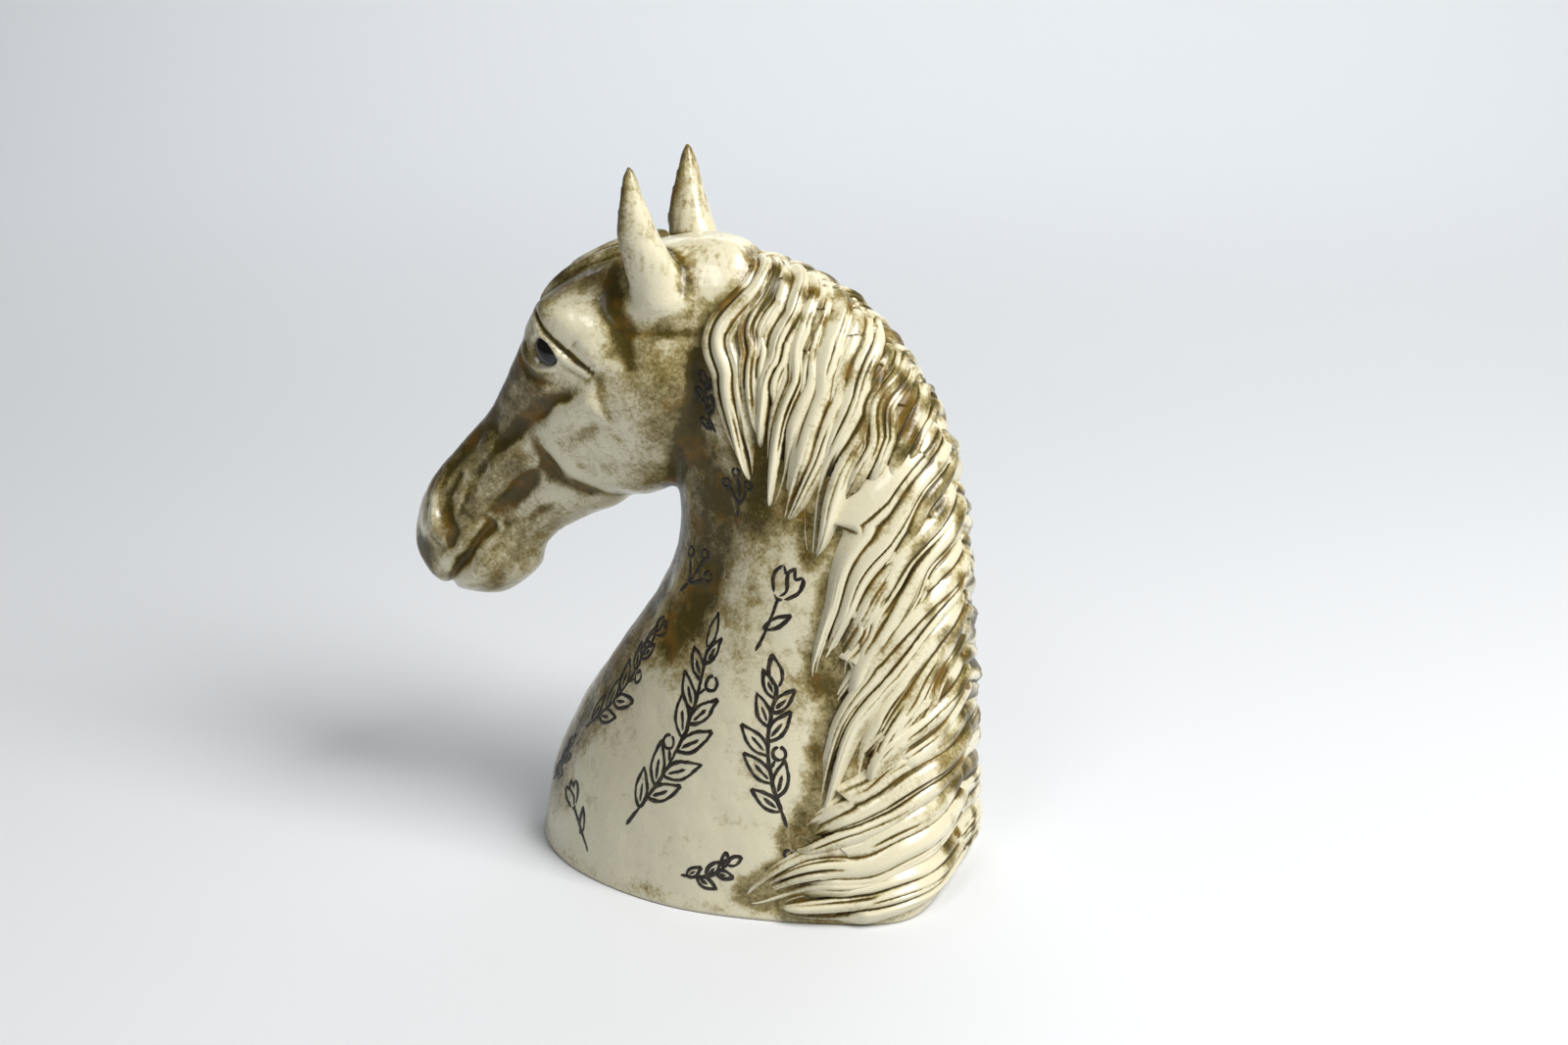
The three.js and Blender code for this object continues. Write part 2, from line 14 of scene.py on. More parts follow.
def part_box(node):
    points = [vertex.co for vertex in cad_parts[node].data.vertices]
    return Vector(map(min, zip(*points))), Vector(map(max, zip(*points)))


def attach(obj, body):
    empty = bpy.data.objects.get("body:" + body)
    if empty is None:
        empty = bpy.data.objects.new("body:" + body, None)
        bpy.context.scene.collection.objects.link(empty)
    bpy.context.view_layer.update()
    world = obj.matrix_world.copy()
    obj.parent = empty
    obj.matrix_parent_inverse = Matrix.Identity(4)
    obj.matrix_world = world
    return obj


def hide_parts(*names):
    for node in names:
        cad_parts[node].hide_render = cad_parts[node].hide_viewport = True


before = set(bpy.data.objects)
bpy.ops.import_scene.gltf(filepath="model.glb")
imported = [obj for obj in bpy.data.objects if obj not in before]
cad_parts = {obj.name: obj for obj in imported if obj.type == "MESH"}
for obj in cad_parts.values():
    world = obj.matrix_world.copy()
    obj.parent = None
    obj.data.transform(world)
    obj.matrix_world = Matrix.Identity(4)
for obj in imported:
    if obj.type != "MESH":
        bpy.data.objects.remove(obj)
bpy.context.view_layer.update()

bl_info = {
    "name": "Ceramic horse head",
    "version": (1, 0, 0),
    "blender": (4, 5, 0),
    "location": "3D Viewport > Sidebar > Horse head",
    "description": "Builds the skin, mane, eyes and line drawing of a glazed ceramic horse head",
    "category": "Object",
}

MM = 0.001

# The forms of neck, head, ears and mane are those of the solids, in the same percent of the same sizes.
NECK_HEIGHT, NECK_LENGTH, NECK_WIDTH = 222, 160, 114
HEAD_LENGTH, HEAD_DEPTH, HEAD_WIDTH, HEAD_SLOPE = 185, 84, 56, 45
EAR_HEIGHT, EAR_DEPTH, EAR_WIDTH = 57, 22, 16
NECK_SHARES = (0.13, 0.46, 0.86, 0.98)
# Throat [x, z], crest [x, z] and four half widths, from the foot up to the poll.
NECK_SECTIONS = (
    ((0, 0), (100, 0), (61.4, 100, 84.2, 63.2)),
    ((3.1, 11.7), (100.6, 13.5), (56.1, 93, 73.7, 49.1)),
    ((10.6, 23.4), (101.2, 27.9), (49.1, 84.2, 63.2, 36.8)),
    ((20.6, 34.7), (100.6, 42.3), (42.1, 73.7, 54.4, 28.1)),
    ((30, 45), (100, 56.8), (35.1, 64.9, 47.4, 21.1)),
    ((35, 54.5), (96.9, 70.3), (33.3, 57.9, 40.4, 17.5)),
    ((35, 63.5), (89.4, 82.4), (33.3, 50.9, 33.3, 14)),
    ((32.5, 72.1), (78.8, 91.4), (31.6, 45.6, 28.1, 12.3)),
    ((29.4, 81.1), (65, 97.3), (28.1, 40.4, 22.8, 10.5)),
    ((27.5, 87.8), (51.2, 100), (21.1, 29.8, 15.8, 7)),
)
HEAD_START = (36.9, 90.1)
# Place along the head line, gullet, crown, then jaw, cheek, cheekbone and temple as (height, half width).
HEAD_SECTIONS = (
    (-19.5, -9.5, 7.1, (-8.3, 14.3), (-3.6, 25), (2.4, 25), (6, 14.3)),
    (-15.1, -26.2, 17.9, (-21.4, 32.1), (-10.7, 53.6), (4.8, 50), (15.5, 32.1)),
    (-7, -38.1, 31, (-32.1, 42.9), (-16.7, 75), (7.1, 71.4), (26.2, 42.9)),
    (3.2, -47.6, 41.7, (-40.5, 53.6), (-16.7, 92.9), (16.7, 89.3), (36.9, 53.6)),
    (13, -53.6, 46.4, (-45.2, 57.1), (-11.9, 100), (23.8, 92.9), (41.7, 67.9)),
    (23.8, -50, 42.9, (-42.9, 53.6), (-9.5, 96.4), (25, 92.9), (38.1, 71.4)),
    (33.5, -41.7, 35.7, (-35.7, 42.9), (-10.7, 78.6), (19, 75), (33.3, 53.6)),
    (44.3, -33.3, 31, (-27.4, 32.1), (-9.5, 57.1), (11.9, 60.7), (27.4, 39.3)),
    (55.1, -28.6, 29.8, (-22.6, 28.6), (-8.3, 46.4), (10.7, 53.6), (26.2, 32.1)),
    (64.3, -33.3, 28.6, (-25, 39.3), (-8.3, 53.6), (10.7, 57.1), (25, 35.7)),
    (71.4, -31, 23.8, (-22.6, 39.3), (-8.3, 50), (7.1, 53.6), (20.2, 32.1)),
    (77.3, -20.2, 14.3, (-15.5, 25), (-7.1, 39.3), (2.4, 39.3), (11.9, 25)),
    (80.5, -10.7, 4.8, (-8.3, 10.7), (-4.8, 17.9), (-1.2, 17.9), (3.6, 10.7)),
)
# Line of places, reach and rise.
HEAD_PADS = (
    (((17.8, 31),), 19, 4.8),
    (((10.8, -21.4),), 33.3, 3),
    (((68.6, 10.7),), 10.7, 3),
    (((23.2, 7), (33, 11), (43, 17)), 10, -2.2),
    (((20.5, -1), (28, 2), (34.6, 3)), 11, 2),
    (((35.7, 3.6), (40, -14), (34, -38)), 9, -2.6),
    (((40, -9), (50, -6), (59, -8)), 8, -2.2),
    (((43, 5), (57, 3)), 9, 1.4),
)
# Height, (front, back), half width and distance from the midline, from the root to the tip.
EAR_RINGS = (
    (0, (-31.8, 18.2), 62.5, 64.3),
    (19.3, (-54.5, 40.9), 87.5, 67.9),
    (38.6, (-68.2, 31.8), 100, 71.4),
    (57.9, (-72.7, 9.1), 93.8, 78.6),
    (77.2, (-63.6, -13.6), 68.8, 85.7),
    (91.2, (-56.8, -27.3), 40, 89.3),
    (100, (-47.7, -38.6), 12.5, 91.1),
)
MANE_RISE = 5
# Width and path from crest to tip; the second lock is on the left side only.
MANE_LOCKS = (
    (5.9, ((0.5, 0.97), (0.26, 0.91), (0.21, 0.81), (0.195, 0.72), (0.185, 0.63))),
    (5.4, ((0.5, 0.95), (0.29, 0.89), (0.24, 0.82), (0.22, 0.75), (0.21, 0.69))),
    (6.8, ((0.5, 0.92), (0.3, 0.86), (0.25, 0.8), (0.23, 0.74), (0.21, 0.67))),
    (6.8, ((0.5, 0.88), (0.31, 0.82), (0.26, 0.74), (0.23, 0.67), (0.2, 0.58))),
    (8.6, ((0.5, 0.84), (0.32, 0.78), (0.27, 0.71), (0.24, 0.63), (0.22, 0.55))),
    (9, ((0.5, 0.78), (0.34, 0.73), (0.28, 0.66), (0.25, 0.58), (0.24, 0.49))),
    (8.1, ((0.5, 0.71), (0.35, 0.68), (0.3, 0.62), (0.27, 0.57), (0.25, 0.51))),
    (8.1, ((0.5, 0.65), (0.39, 0.63), (0.34, 0.6), (0.3, 0.56))),
    (10.8, ((0.5, 0.58), (0.35, 0.55), (0.29, 0.48), (0.27, 0.4), (0.26, 0.31))),
    (9, ((0.5, 0.5), (0.36, 0.47), (0.32, 0.42), (0.29, 0.35), (0.28, 0.28))),
    (9, ((0.5, 0.43), (0.38, 0.4), (0.32, 0.35), (0.28, 0.27), (0.27, 0.14))),
    (9, ((0.5, 0.36), (0.39, 0.33), (0.35, 0.28), (0.32, 0.23), (0.3, 0.17))),
    (9.9, ((0.5, 0.28), (0.41, 0.27), (0.36, 0.24), (0.32, 0.21), (0.3, 0.18))),
    (10.4, ((0.5, 0.2), (0.38, 0.19), (0.32, 0.16), (0.28, 0.13), (0.26, 0.11))),
    (9.9, ((0.5, 0.12), (0.37, 0.11), (0.31, 0.08), (0.27, 0.06), (0.24, 0.03))),
    (7.7, ((0.5, 0.045), (0.38, 0.05), (0.32, 0.04), (0.28, 0.03), (0.26, 0.02))),
)
FORELOCK = (20, 3, ((0.5, 0.17), (0.5, 0.26), (0.5, 0.34), (0.5, 0.41)))
# The eyeball's half sizes along, up and out, how deep it is sunk and where it looks on the right side.
EYE_HALF_SIZES = (5.3, 6.2, 4.2)
EYE_SUNK = 1.7
EYE_OUTWARD = (-0.42, 0.9, 0.12)
# The socket's middle and half sizes along the head line and above it, and its depth.
SOCKET_MIDDLE, SOCKET_HALF_SIZES, SOCKET_DEPTH = (37.5, 23), (5.2, 6.4), 2.4
# The skin is cut off at this height, and its rounded foot rim starts there.
FOOT_CUT = 1.4
# The share of an ear's ring that lies outside, and how far that part reaches to each side of the back, as a
# share of a half turn.
EAR_OUTER, EAR_REACH = 0.62, 0.86
# How far an ear's back edge lies inside the solid's at half its height, in millimetres.
EAR_DRAWN_IN = 1.8
# The share of a lock's ring that is its back, how deep its underside lies in the clay and how far every lock
# stays above the ground, in millimetres.
LOCK_BACK, LOCK_DEPTH, LOCK_GROUND = 0.84, 2.8, 0.8

# Work on the head's sides, as seen from the side: millimetres along the head line and above it. Each
# stroke pushes the clay out (or in, below zero) near a line: points, reach, rise.
HEAD_STROKES = (
    (((29, 36), (23, 27), (21, 17), (24, 8)), 9.5, 4.2),  # brow bulge
    (((31.8, 35), (31.0, 24), (29.8, 16.5), (27.5, 5)), 1.5, -1.5),  # crease over the upper lid
    (((33.6, 34), (33.0, 24), (31.8, 16), (29.6, 6)), 1.4, 1.0),  # upper lid
    (((43.8, 30), (44.8, 25), (43.2, 20), (38, 16.5)), 1.7, 1.3),  # lower lid
    (((48, 29), (48.6, 21), (44, 13.5)), 2.6, -0.8),  # under the lower lid
    (((2, 27), (8, 17), (10, 6), (14, -2)), 6.5, -2.0),  # hollow between brow and ear
    (((31, 2), (36, -1), (37, -9)), 3.2, 0.8),  # ridge down from the corner of the eye
    (((36, 5), (50, 9), (64, 11), (78, 12)), 3.6, -0.5),  # hollow over the facial crest
    (((38, 0), (52, 4), (68, 7)), 4.2, 0.9),  # facial crest
    (((69, 4), (71, -4), (73, -13), (70, -22), (62, -32)), 3.4, -0.6),  # front edge of the cheek disc
    (((63, 3), (65, -6), (66, -14), (62, -24)), 4.2, 1.0),  # rim of the cheek disc
    (((74, 21), (91, 21), (104, 20), (112, 21)), 3.4, -1.1),  # groove down the side of the nose
    (((68, 16), (84, 15), (98, 13)), 3.2, 0.7),  # ridge between the grooves
    (((111, 21), (119, 16), (122, 12), (125, 7), (128, 1)), 2.4, 1.8),  # rim of the nostril
    (((106, 15), (114, 12), (118, 8), (121, 2), (126, -1)), 3.2, -1.7),  # nostril
    (((118, 4), (112, 8), (105, 10)), 1.3, 0.8),  # back edge of the nostril
    (((75, 6), (90, 7), (104, 4)), 4.2, 1.5),  # muscle of the upper lip
    (((72, -4), (86, -4), (97, -3), (108, -3)), 3.6, -0.9),  # fold from the cheek to the mouth
    (((107, -4), (107.5, -9)), 2.8, 1.5),  # corner of the mouth
    (((111, -3), (118, -3), (127, -3.5), (137, -3.5)), 2.1, 1.1),  # edge of the upper lip
    (((111, -16), (119, -17), (128, -15)), 4.6, 1.3),  # chin
    (((81, -17), (93, -14), (104, -11)), 3.0, -0.5),  # line above the jaw bone
    (((76, -22), (90, -20), (102, -18)), 3.0, 0.7),  # jaw bone
    (((-11, -9), (-1, -2), (4, 3), (11, 10)), 2.2, -0.35),  # crease round the foot of the ear
    (((-14, 0), (-3, 8), (5, 16)), 6.5, 1.6),  # foot of the ear
    (((-6, -14), (4, -24), (14, -32)), 4.0, -0.9),  # groove behind the jowl
    (((6, -10), (16, -20), (26, -26)), 9.0, 0.8),  # jowl
)
# Strokes that run right round the nose, of the same kind.
ROUND_STROKES = (
    (((107, -6), (117, -7), (126, -8), (136, -9), (152, -11)), 3.0, -3.2),  # mouth
    (((119, -15), (128, -16), (136, -15)), 5.0, 1.6),  # lower lip
    (((108, -27), (116, -26), (124, -25)), 4.5, 1.4),  # chin
    (((98, -27), (103, -29), (107, -34)), 4.0, -1.5),  # hollow behind the chin
)
# Lines on the neck as points round and up it, (u, v).
NECK_STROKES = (
    (((0.16, 0.63), (0.15, 0.5), (0.13, 0.36)), 8, -1.0),  # groove behind the windpipe
    (((0.11, 0.66), (0.1, 0.52), (0.09, 0.38)), 9, 0.8),
    (((0.24, 0.4), (0.25, 0.25), (0.24, 0.1)), 16, 1.0),  # shoulder
)
# Where brown oxide was left under the glaze on the head, as strokes of the same kind: reach, strength.
HEAD_STAINS = (
    (((40, 5), (50, 9), (62, 11)), 3.4, 0.75),
    (((73, -3), (86, -4), (97, -3), (107, -3)), 4.5, 0.6),
    (((106, -6), (117, -7), (126, -8), (140, -9)), 5.0, 0.75),
    (((110, -1), (117, 2), (122, 3)), 3.2, 0.8),
    (((108, 14), (114, 12), (118, 8), (121, 2)), 3.6, 0.5),
    (((69, 4), (71, -4), (73, -13), (70, -22)), 3.2, 0.2),
    (((31.8, 35), (31.0, 24), (29.8, 16.5), (27.5, 5)), 1.6, 0.45),
    (((43, 34), (48, 27), (51, 19)), 5.0, 0.5),
    (((-8, -7), (-1, -2), (4, 3), (8, 7)), 2.6, 0.15),
)
# Broad washes of the same oxide, partly painted shade on the sides of the nose, the muzzle, chin and jaw,
# which face away from the light: line, reach, strength.
HEAD_WASHES_AND_SHADE = (
    (((50, 27), (72, 25), (92, 23), (112, 20)), 11, 0.95),
    (((52, 17), (74, 17), (94, 13)), 10, 0.88),
    (((86, 4), (104, 5), (124, 1)), 13, 0.72),
    (((108, -14), (128, -20)), 12, 0.58),
    (((74, -25), (90, -21), (104, -18)), 9, 0.42),
    (((139, 5), (146, -2)), 7, 1.1),
    (((3, 26), (6, 18), (9, 9)), 7, 0.8),
    (((26, 40), (14, 37), (4, 34)), 8, 0.95),
    (((-4, -20), (6, -27), (18, -35), (30, -41)), 9, 0.95),
    (((4, -2), (12, -14)), 7, 0.42),
    (((28, -6), (50, -14)), 22, 0.2),
)
# Washes on the neck as lines (u, v), reach and strength. The first three are oxide and also painted shade:
# the shadow under the jaw and the shade down the front of the neck.
NECK_STAINS_AND_SHADE = (
    (((0.24, 0.86), (0.21, 0.72), (0.19, 0.58)), 14, 1.0),
    (((0.12, 0.9), (0.13, 0.7), (0.13, 0.55), (0.12, 0.4)), 18, 0.85),
    (((0.02, 0.95), (0.04, 0.7), (0.05, 0.42), (0.06, 0.12)), 17, 0.8),
    (((0.19, 0.5), (0.2, 0.38)), 12, 0.4),
    (((0.26, 0.42), (0.25, 0.28)), 12, 0.35),
    (((0.02, 0.015), (0.15, 0.012), (0.3, 0.012), (0.5, 0.012)), 3.0, 0.4),
)


def linear(hex_colour):
    """The linear RGBA of an sRGB hex colour."""
    channels = [int(hex_colour[i:i + 2], 16) / 255 for i in (1, 3, 5)]
    return tuple(c / 12.92 if c <= 0.04045 else ((c + 0.055) / 1.055) ** 2.4 for c in channels) + (1.0,)


def size_setting(name, description, default, low, high):
    """A length that the panel shows, given in millimetres."""
    return bpy.props.FloatProperty(
        name=name, description=description, default=default * MM, min=low * MM, max=high * MM,
        subtype="DISTANCE", unit="LENGTH")


def colour_setting(name, description, hex_colour):
    """A colour that the panel shows."""
    return bpy.props.FloatVectorProperty(
        name=name, description=description, default=linear(hex_colour), size=4, min=0, max=1, subtype="COLOR")


class HorseSizes(bpy.types.PropertyGroup):
    voxel: size_setting(
        "Skin grain", "Spacing of the skin's mesh before the fine work on the head", 1.15, 0.6, 3)
    wall: size_setting("Foot wall", "Thickness of the clay at the foot", 7, 3, 12)
    groove: size_setting("Groove depth", "Depth of the grooves between the strands of a lock", 1.9, 0, 3)
    line: size_setting("Drawn line", "Width of the lines drawn on the neck", 1.35, 0.4, 3)


class HorseColours(bpy.types.PropertyGroup):
    cream: colour_setting("Cream glaze", "Thick glaze over white slip", "#D6D0B4")
    tan: colour_setting("Thin glaze", "Glaze where it lies thin over the clay", "#9C8E5E")
    olive: colour_setting("Olive wash", "Thin wash of oxide under the glaze", "#4B4119")
    rust: colour_setting("Rust stain", "Iron oxide gathered in a hollow", "#7B5A1A")
    umber: colour_setting("Dark stain", "Oxide at the bottom of a deep groove", "#251907")
    soot: colour_setting("Line", "Slip of the drawn lines", "#1A140D")
    clay: colour_setting("Bare clay", "Fired clay without glaze, inside and under the foot", "#A98B5C")
    floor: colour_setting("Floor", "Paper that the ornament stands on", "#DADDE1")


# Surfaces through rails, as in the solids

def catmull_rom(p0, p1, p2, p3, w):
    """Points on centripetal Catmull-Rom spans."""
    d0, d1, d2 = (np.sum((b - a) ** 2, -1, keepdims=True) ** 0.25 for a, b in ((p0, p1), (p1, p2), (p2, p3)))
    d1 = np.where(d1 < 1e-4, 1, d1)
    d0 = np.where(d0 < 1e-4, d1, d0)
    d2 = np.where(d2 < 1e-4, d1, d2)
    t1 = ((p1 - p0) / d0 - (p2 - p0) / (d0 + d1) + (p2 - p1) / d1) * d1
    t2 = ((p2 - p1) / d1 - (p3 - p1) / (d1 + d2) + (p3 - p2) / d2) * d1
    return p1 + t1 * w + (3 * (p2 - p1) - 2 * t1 - t2) * w**2 + (2 * (p1 - p2) + t1 + t2) * w**3


class RailSurface:
    """A surface in millimetres through rails; u goes once round it and v along it, both from 0 to 1."""

    def __init__(self, rails, swell=None):
        rails = np.array(rails, float)
        first = 2 * rails[:, :1] - rails[:, 1:2]
        last = 2 * rails[:, -1:] - rails[:, -2:-1]
        self.rails = np.concatenate((first, rails, last), 1)
        self.swell = swell

    def bare(self, u, v):
        spans = self.rails.shape[1] - 3
        along = np.clip(v, 0, 1) * spans
        i = np.minimum(along.astype(int), spans - 1)
        line = catmull_rom(*(self.rails[:, i + k] for k in range(4)), (along - i)[:, None])
        count = len(self.rails)
        turn = (u % 1) * count
        j = turn.astype(int) % count
        each = np.arange(len(u))
        near = [line[(j + k) % count, each] for k in (-1, 0, 1, 2)]
        return catmull_rom(*near, (turn - np.floor(turn))[:, None])

    def point(self, u, v):
        u, v = np.broadcast_arrays(np.asarray(u, float), np.asarray(v, float))
        p = self.bare(u, v)
        if self.swell is None:
            return p
        return p + self.swell(p)[:, None] * self.crossed(self.bare, u, v)[2]

    @staticmethod
    def crossed(point, u, v):
        step = 0.005
        low, high = np.clip(v - step, 0, 1), np.clip(v + step, 0, 1)
        round_u = (point(u + step, v) - point(u - step, v)) / (2 * step)
        along_v = (point(u, high) - point(u, low)) / (high - low)[:, None]
        return round_u, along_v, unit(np.cross(round_u, along_v))

    def tangents(self, u, v):
        u, v = np.broadcast_arrays(np.asarray(u, float), np.asarray(v, float))
        return self.crossed(self.point, u, v)


def both_sides(left):
    """Rails in order round a body that is alike on both sides, from those of its left half."""
    right = [rail * (1, -1, 1) for rail in left[-2:0:-1]]
    return [*left, *right]


NECK_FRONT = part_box("neck_shell")[0].x / MM
HEAD_ORIGIN = np.array((NECK_FRONT + HEAD_START[0] / 100 * NECK_LENGTH, 0, HEAD_START[1] / 100 * NECK_HEIGHT))
HEAD_ALONG = np.array((-math.cos(math.radians(HEAD_SLOPE)), 0, -math.sin(math.radians(HEAD_SLOPE))))
HEAD_UP = np.array((HEAD_ALONG[2], 0, -HEAD_ALONG[0]))


def neck_rails():
    def at(share, half):
        return np.array([(
            NECK_FRONT + (t[0] + (c[0] - t[0]) * share) / 100 * NECK_LENGTH,
            0 if half is None else -w[half] / 200 * NECK_WIDTH,
            (t[1] + (c[1] - t[1]) * share) / 100 * NECK_HEIGHT,
        ) for t, c, w in NECK_SECTIONS])
    return both_sides([at(0, None), *(at(share, i) for i, share in enumerate(NECK_SHARES)), at(1, None)])


def head_place(at, height, half=0):
    """A point given in percent along the head line, above it and to its left."""
    side = np.array((0, -half / 200 * HEAD_WIDTH, 0))
    return HEAD_ORIGIN + at / 100 * HEAD_LENGTH * HEAD_ALONG + height / 100 * HEAD_DEPTH * HEAD_UP + side


def head_rails():
    return both_sides([
        np.array([head_place(s[0], s[1]) for s in HEAD_SECTIONS]),
        *(np.array([head_place(s[0], *s[i]) for s in HEAD_SECTIONS]) for i in (3, 4, 5, 6)),
        np.array([head_place(s[0], s[2]) for s in HEAD_SECTIONS]),
    ])


def on_head_line(points):
    """Distance along the head line and height above it."""
    away = points - HEAD_ORIGIN
    return away @ HEAD_ALONG, away @ HEAD_UP


def head_swell(points):
    along, above = on_head_line(points)
    total = np.zeros(len(points))
    flat = np.stack((along, above), 1)
    for line, reach, rise in HEAD_PADS:
        places = np.array(line) / 100 * (HEAD_LENGTH, HEAD_DEPTH)
        far = np.minimum(distance_to_line(flat, places) / (reach / 100 * HEAD_DEPTH), 1)
        total += rise / 100 * HEAD_DEPTH * (1 - far**2) ** 2
    return total


NECK = RailSurface(neck_rails())
HEAD = RailSurface(head_rails(), head_swell)


# Small helpers

def unit(vectors):
    """Vectors at length 1, one or a row each."""
    return vectors / np.maximum(np.linalg.norm(vectors, axis=-1, keepdims=True), 1e-9)


def smoothstep(x, low, high):
    t = np.clip((x - low) / (high - low), 0, 1)
    return t * t * (3 - 2 * t)


def wander(x, seed, step):
    """A smooth line of noise from -1 to 1 that turns about once in a step."""
    rng = np.random.default_rng(seed)
    knots = rng.uniform(-1, 1, 512)
    at = np.asarray(x, float) / step + 64
    i = np.floor(at).astype(int)
    w = at - i
    w = w * w * (3 - 2 * w)
    return knots[i % 512] * (1 - w) + knots[(i + 1) % 512] * w


def lumps(points, seed, size):
    """Smooth noise over space, from about -1 to 1, with lumps of a size."""
    rng = np.random.default_rng(seed)
    total = np.zeros(len(points))
    for _ in range(7):
        direction = rng.normal(size=3)
        direction *= 2 * math.pi / size / np.linalg.norm(direction) * rng.uniform(0.6, 1.5)
        total += np.sin(points @ direction + rng.uniform(0, 6.28)) / 3.5
    return total


def nearest_on_line(points, line):
    """The distance of each point to a line of joined pieces, and the share of the line before the nearest
    place on it."""
    line = np.array(line, float)
    steps = np.linalg.norm(np.diff(line, axis=0), axis=1)
    starts = np.concatenate(((0,), np.cumsum(steps))) / max(steps.sum(), 1e-9)
    best = np.linalg.norm(points - line[0], axis=1)
    share = np.zeros(len(points))
    for i, (a, b) in enumerate(zip(line[:-1], line[1:])):
        run = b - a
        t = np.clip((points - a) @ run / (run @ run), 0, 1)
        far = np.linalg.norm(points - a - t[:, None] * run, axis=1)
        share = np.where(far < best, starts[i] + t * (starts[i + 1] - starts[i]), share)
        best = np.minimum(best, far)
    return best, share


def distance_to_line(points, line):
    return nearest_on_line(points, line)[0]


def pressed_along(points, line, reach):
    """The weight, from 0 to 1, of a stroke along a line: strongest in its middle, thin at both ends."""
    best, share = nearest_on_line(points, line)
    swell = np.sin(math.pi * (0.1 + 0.8 * share))
    return np.exp(-1.4 * (best / (reach * (0.55 + 0.45 * swell))) ** 2) * swell**0.8


def spline(points, t):
    """Points of an even Catmull-Rom line through points."""
    points = np.array(points, float)
    padded = np.concatenate((points[:1], points, points[-1:]))
    spans = len(points) - 1
    along = np.clip(t, 0, 1) * spans
    i = np.minimum(along.astype(int), spans - 1)
    w = (along - i)[:, None]
    p0, p1, p2, p3 = (padded[i + k] for k in range(4))
    v0, v1 = (p2 - p0) / 2, (p3 - p1) / 2
    return (2 * p1 - 2 * p2 + v0 + v1) * w**3 + (3 * (p2 - p1) - 2 * v0 - v1) * w**2 + v0 * w + p1


def vertex_array(bm):
    return np.array([v.co for v in bm.verts])


def set_vertices(bm, points):
    for v, co in zip(bm.verts, points):
        v.co = co


def at_end(s):
    """Whether a place on a skin lies at either of its ends, where it closes to a point."""
    return (s < 1e-6) | (s > 1 - 1e-6)


def moved_grid(along, around, place):
    """A closed skin from a grid: place(s, a) gives its points in metres for s along it and a round it, both
    from 0 to 1, and the stain on each. The seam is welded, and an end whose points fall together becomes a
    pole."""
    bm = bmesh.new()
    bmesh.ops.create_grid(bm, x_segments=along, y_segments=around, size=0.5)
    flat = vertex_array(bm)
    points, stain = place(flat[:, 0] + 0.5, flat[:, 1] + 0.5)
    set_vertices(bm, points)
    if stain is not None:
        layer = bm.verts.layers.float.new("stain")
        for v, value in zip(bm.verts, stain):
            v[layer] = value
    bmesh.ops.remove_doubles(bm, verts=bm.verts, dist=1e-7)
    bmesh.ops.dissolve_degenerate(bm, dist=1e-8, edges=bm.edges)
    bmesh.ops.recalc_face_normals(bm, faces=bm.faces)
    return bm


def to_object(bm, name):
    mesh = bpy.data.meshes.new(name)
    bm.to_mesh(mesh)
    bm.free()
    mesh.shade_smooth()
    obj = bpy.data.objects.new(name, mesh)
    bpy.context.scene.collection.objects.link(obj)
    return obj


def join_into(bm, other):
    """Adds another bmesh to this one."""
    mesh = bpy.data.meshes.new("joined")
    other.to_mesh(mesh)
    other.free()
    bm.from_mesh(mesh)
    bpy.data.meshes.remove(mesh)


def finish_piece(obj, material, replaces=()):
    obj.data.materials.append(material)
    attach(obj, "root")
    if replaces:
        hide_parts(*replaces)


def read_array(items, name, width, kind=float):
    """One property of all the items of a mesh, a row for each."""
    values = np.empty(len(items) * width, kind)
    items.foreach_get(name, values)
    return values.reshape(-1, width)


def mesh_points(mesh):
    return read_array(mesh.vertices, "co", 3)


def mesh_normals(mesh):
    return read_array(mesh.vertex_normals, "vector", 3)


def mesh_edges(mesh):
    return read_array(mesh.edges, "vertices", 2, int)


def relaxed(points, edges, rounds, keep=None):
    """Points moved to the middle of their neighbours some rounds; keep, from 0 to 1, holds a point back."""
    count = np.bincount(edges.ravel(), minlength=len(points))[:, None]
    now = points.copy()
    for _ in range(rounds):
        total = np.zeros_like(now)
        for axis in range(3):
            total[:, axis] = (
                np.bincount(edges[:, 0], now[edges[:, 1], axis], len(points))
                + np.bincount(edges[:, 1], now[edges[:, 0], axis], len(points)))
        mean = total / np.maximum(count, 1)
        now = mean if keep is None else now + (mean - now) * (1 - keep[:, None])
    return now


def set_attribute(mesh, name, values):
    attribute = mesh.attributes.get(name) or mesh.attributes.new(name, "FLOAT", "POINT")
    attribute.data.foreach_set("value", np.asarray(values, np.float32))


def get_attribute(mesh, name):
    return read_array(mesh.attributes[name].data, "value", 1, np.float32)[:, 0].astype(float)


def add_node(tree, kind, links=None, **settings):
    """Adds a node with settings and links: a link goes from an input's name or number to (node, output)."""
    node = tree.nodes.new(kind)
    for key, value in settings.items():
        if hasattr(node, key):
            setattr(node, key, value)
        else:
            node.inputs[key.replace("_", " ")].default_value = value
    for socket, (source, output) in (links or {}).items():
        tree.links.new(source.outputs[output], node.inputs[socket])
    return node


def ramp(tree, source, output, stops):
    """A colour ramp node with its stops set."""
    node = add_node(tree, "ShaderNodeValToRGB", {"Fac": (source, output)})
    elements = node.color_ramp.elements
    while len(elements) < len(stops):
        elements.new(0.5)
    for element, (place, value) in zip(elements, stops):
        element.position = place
        element.color = (value, value, value, 1)
    return node


# Materials

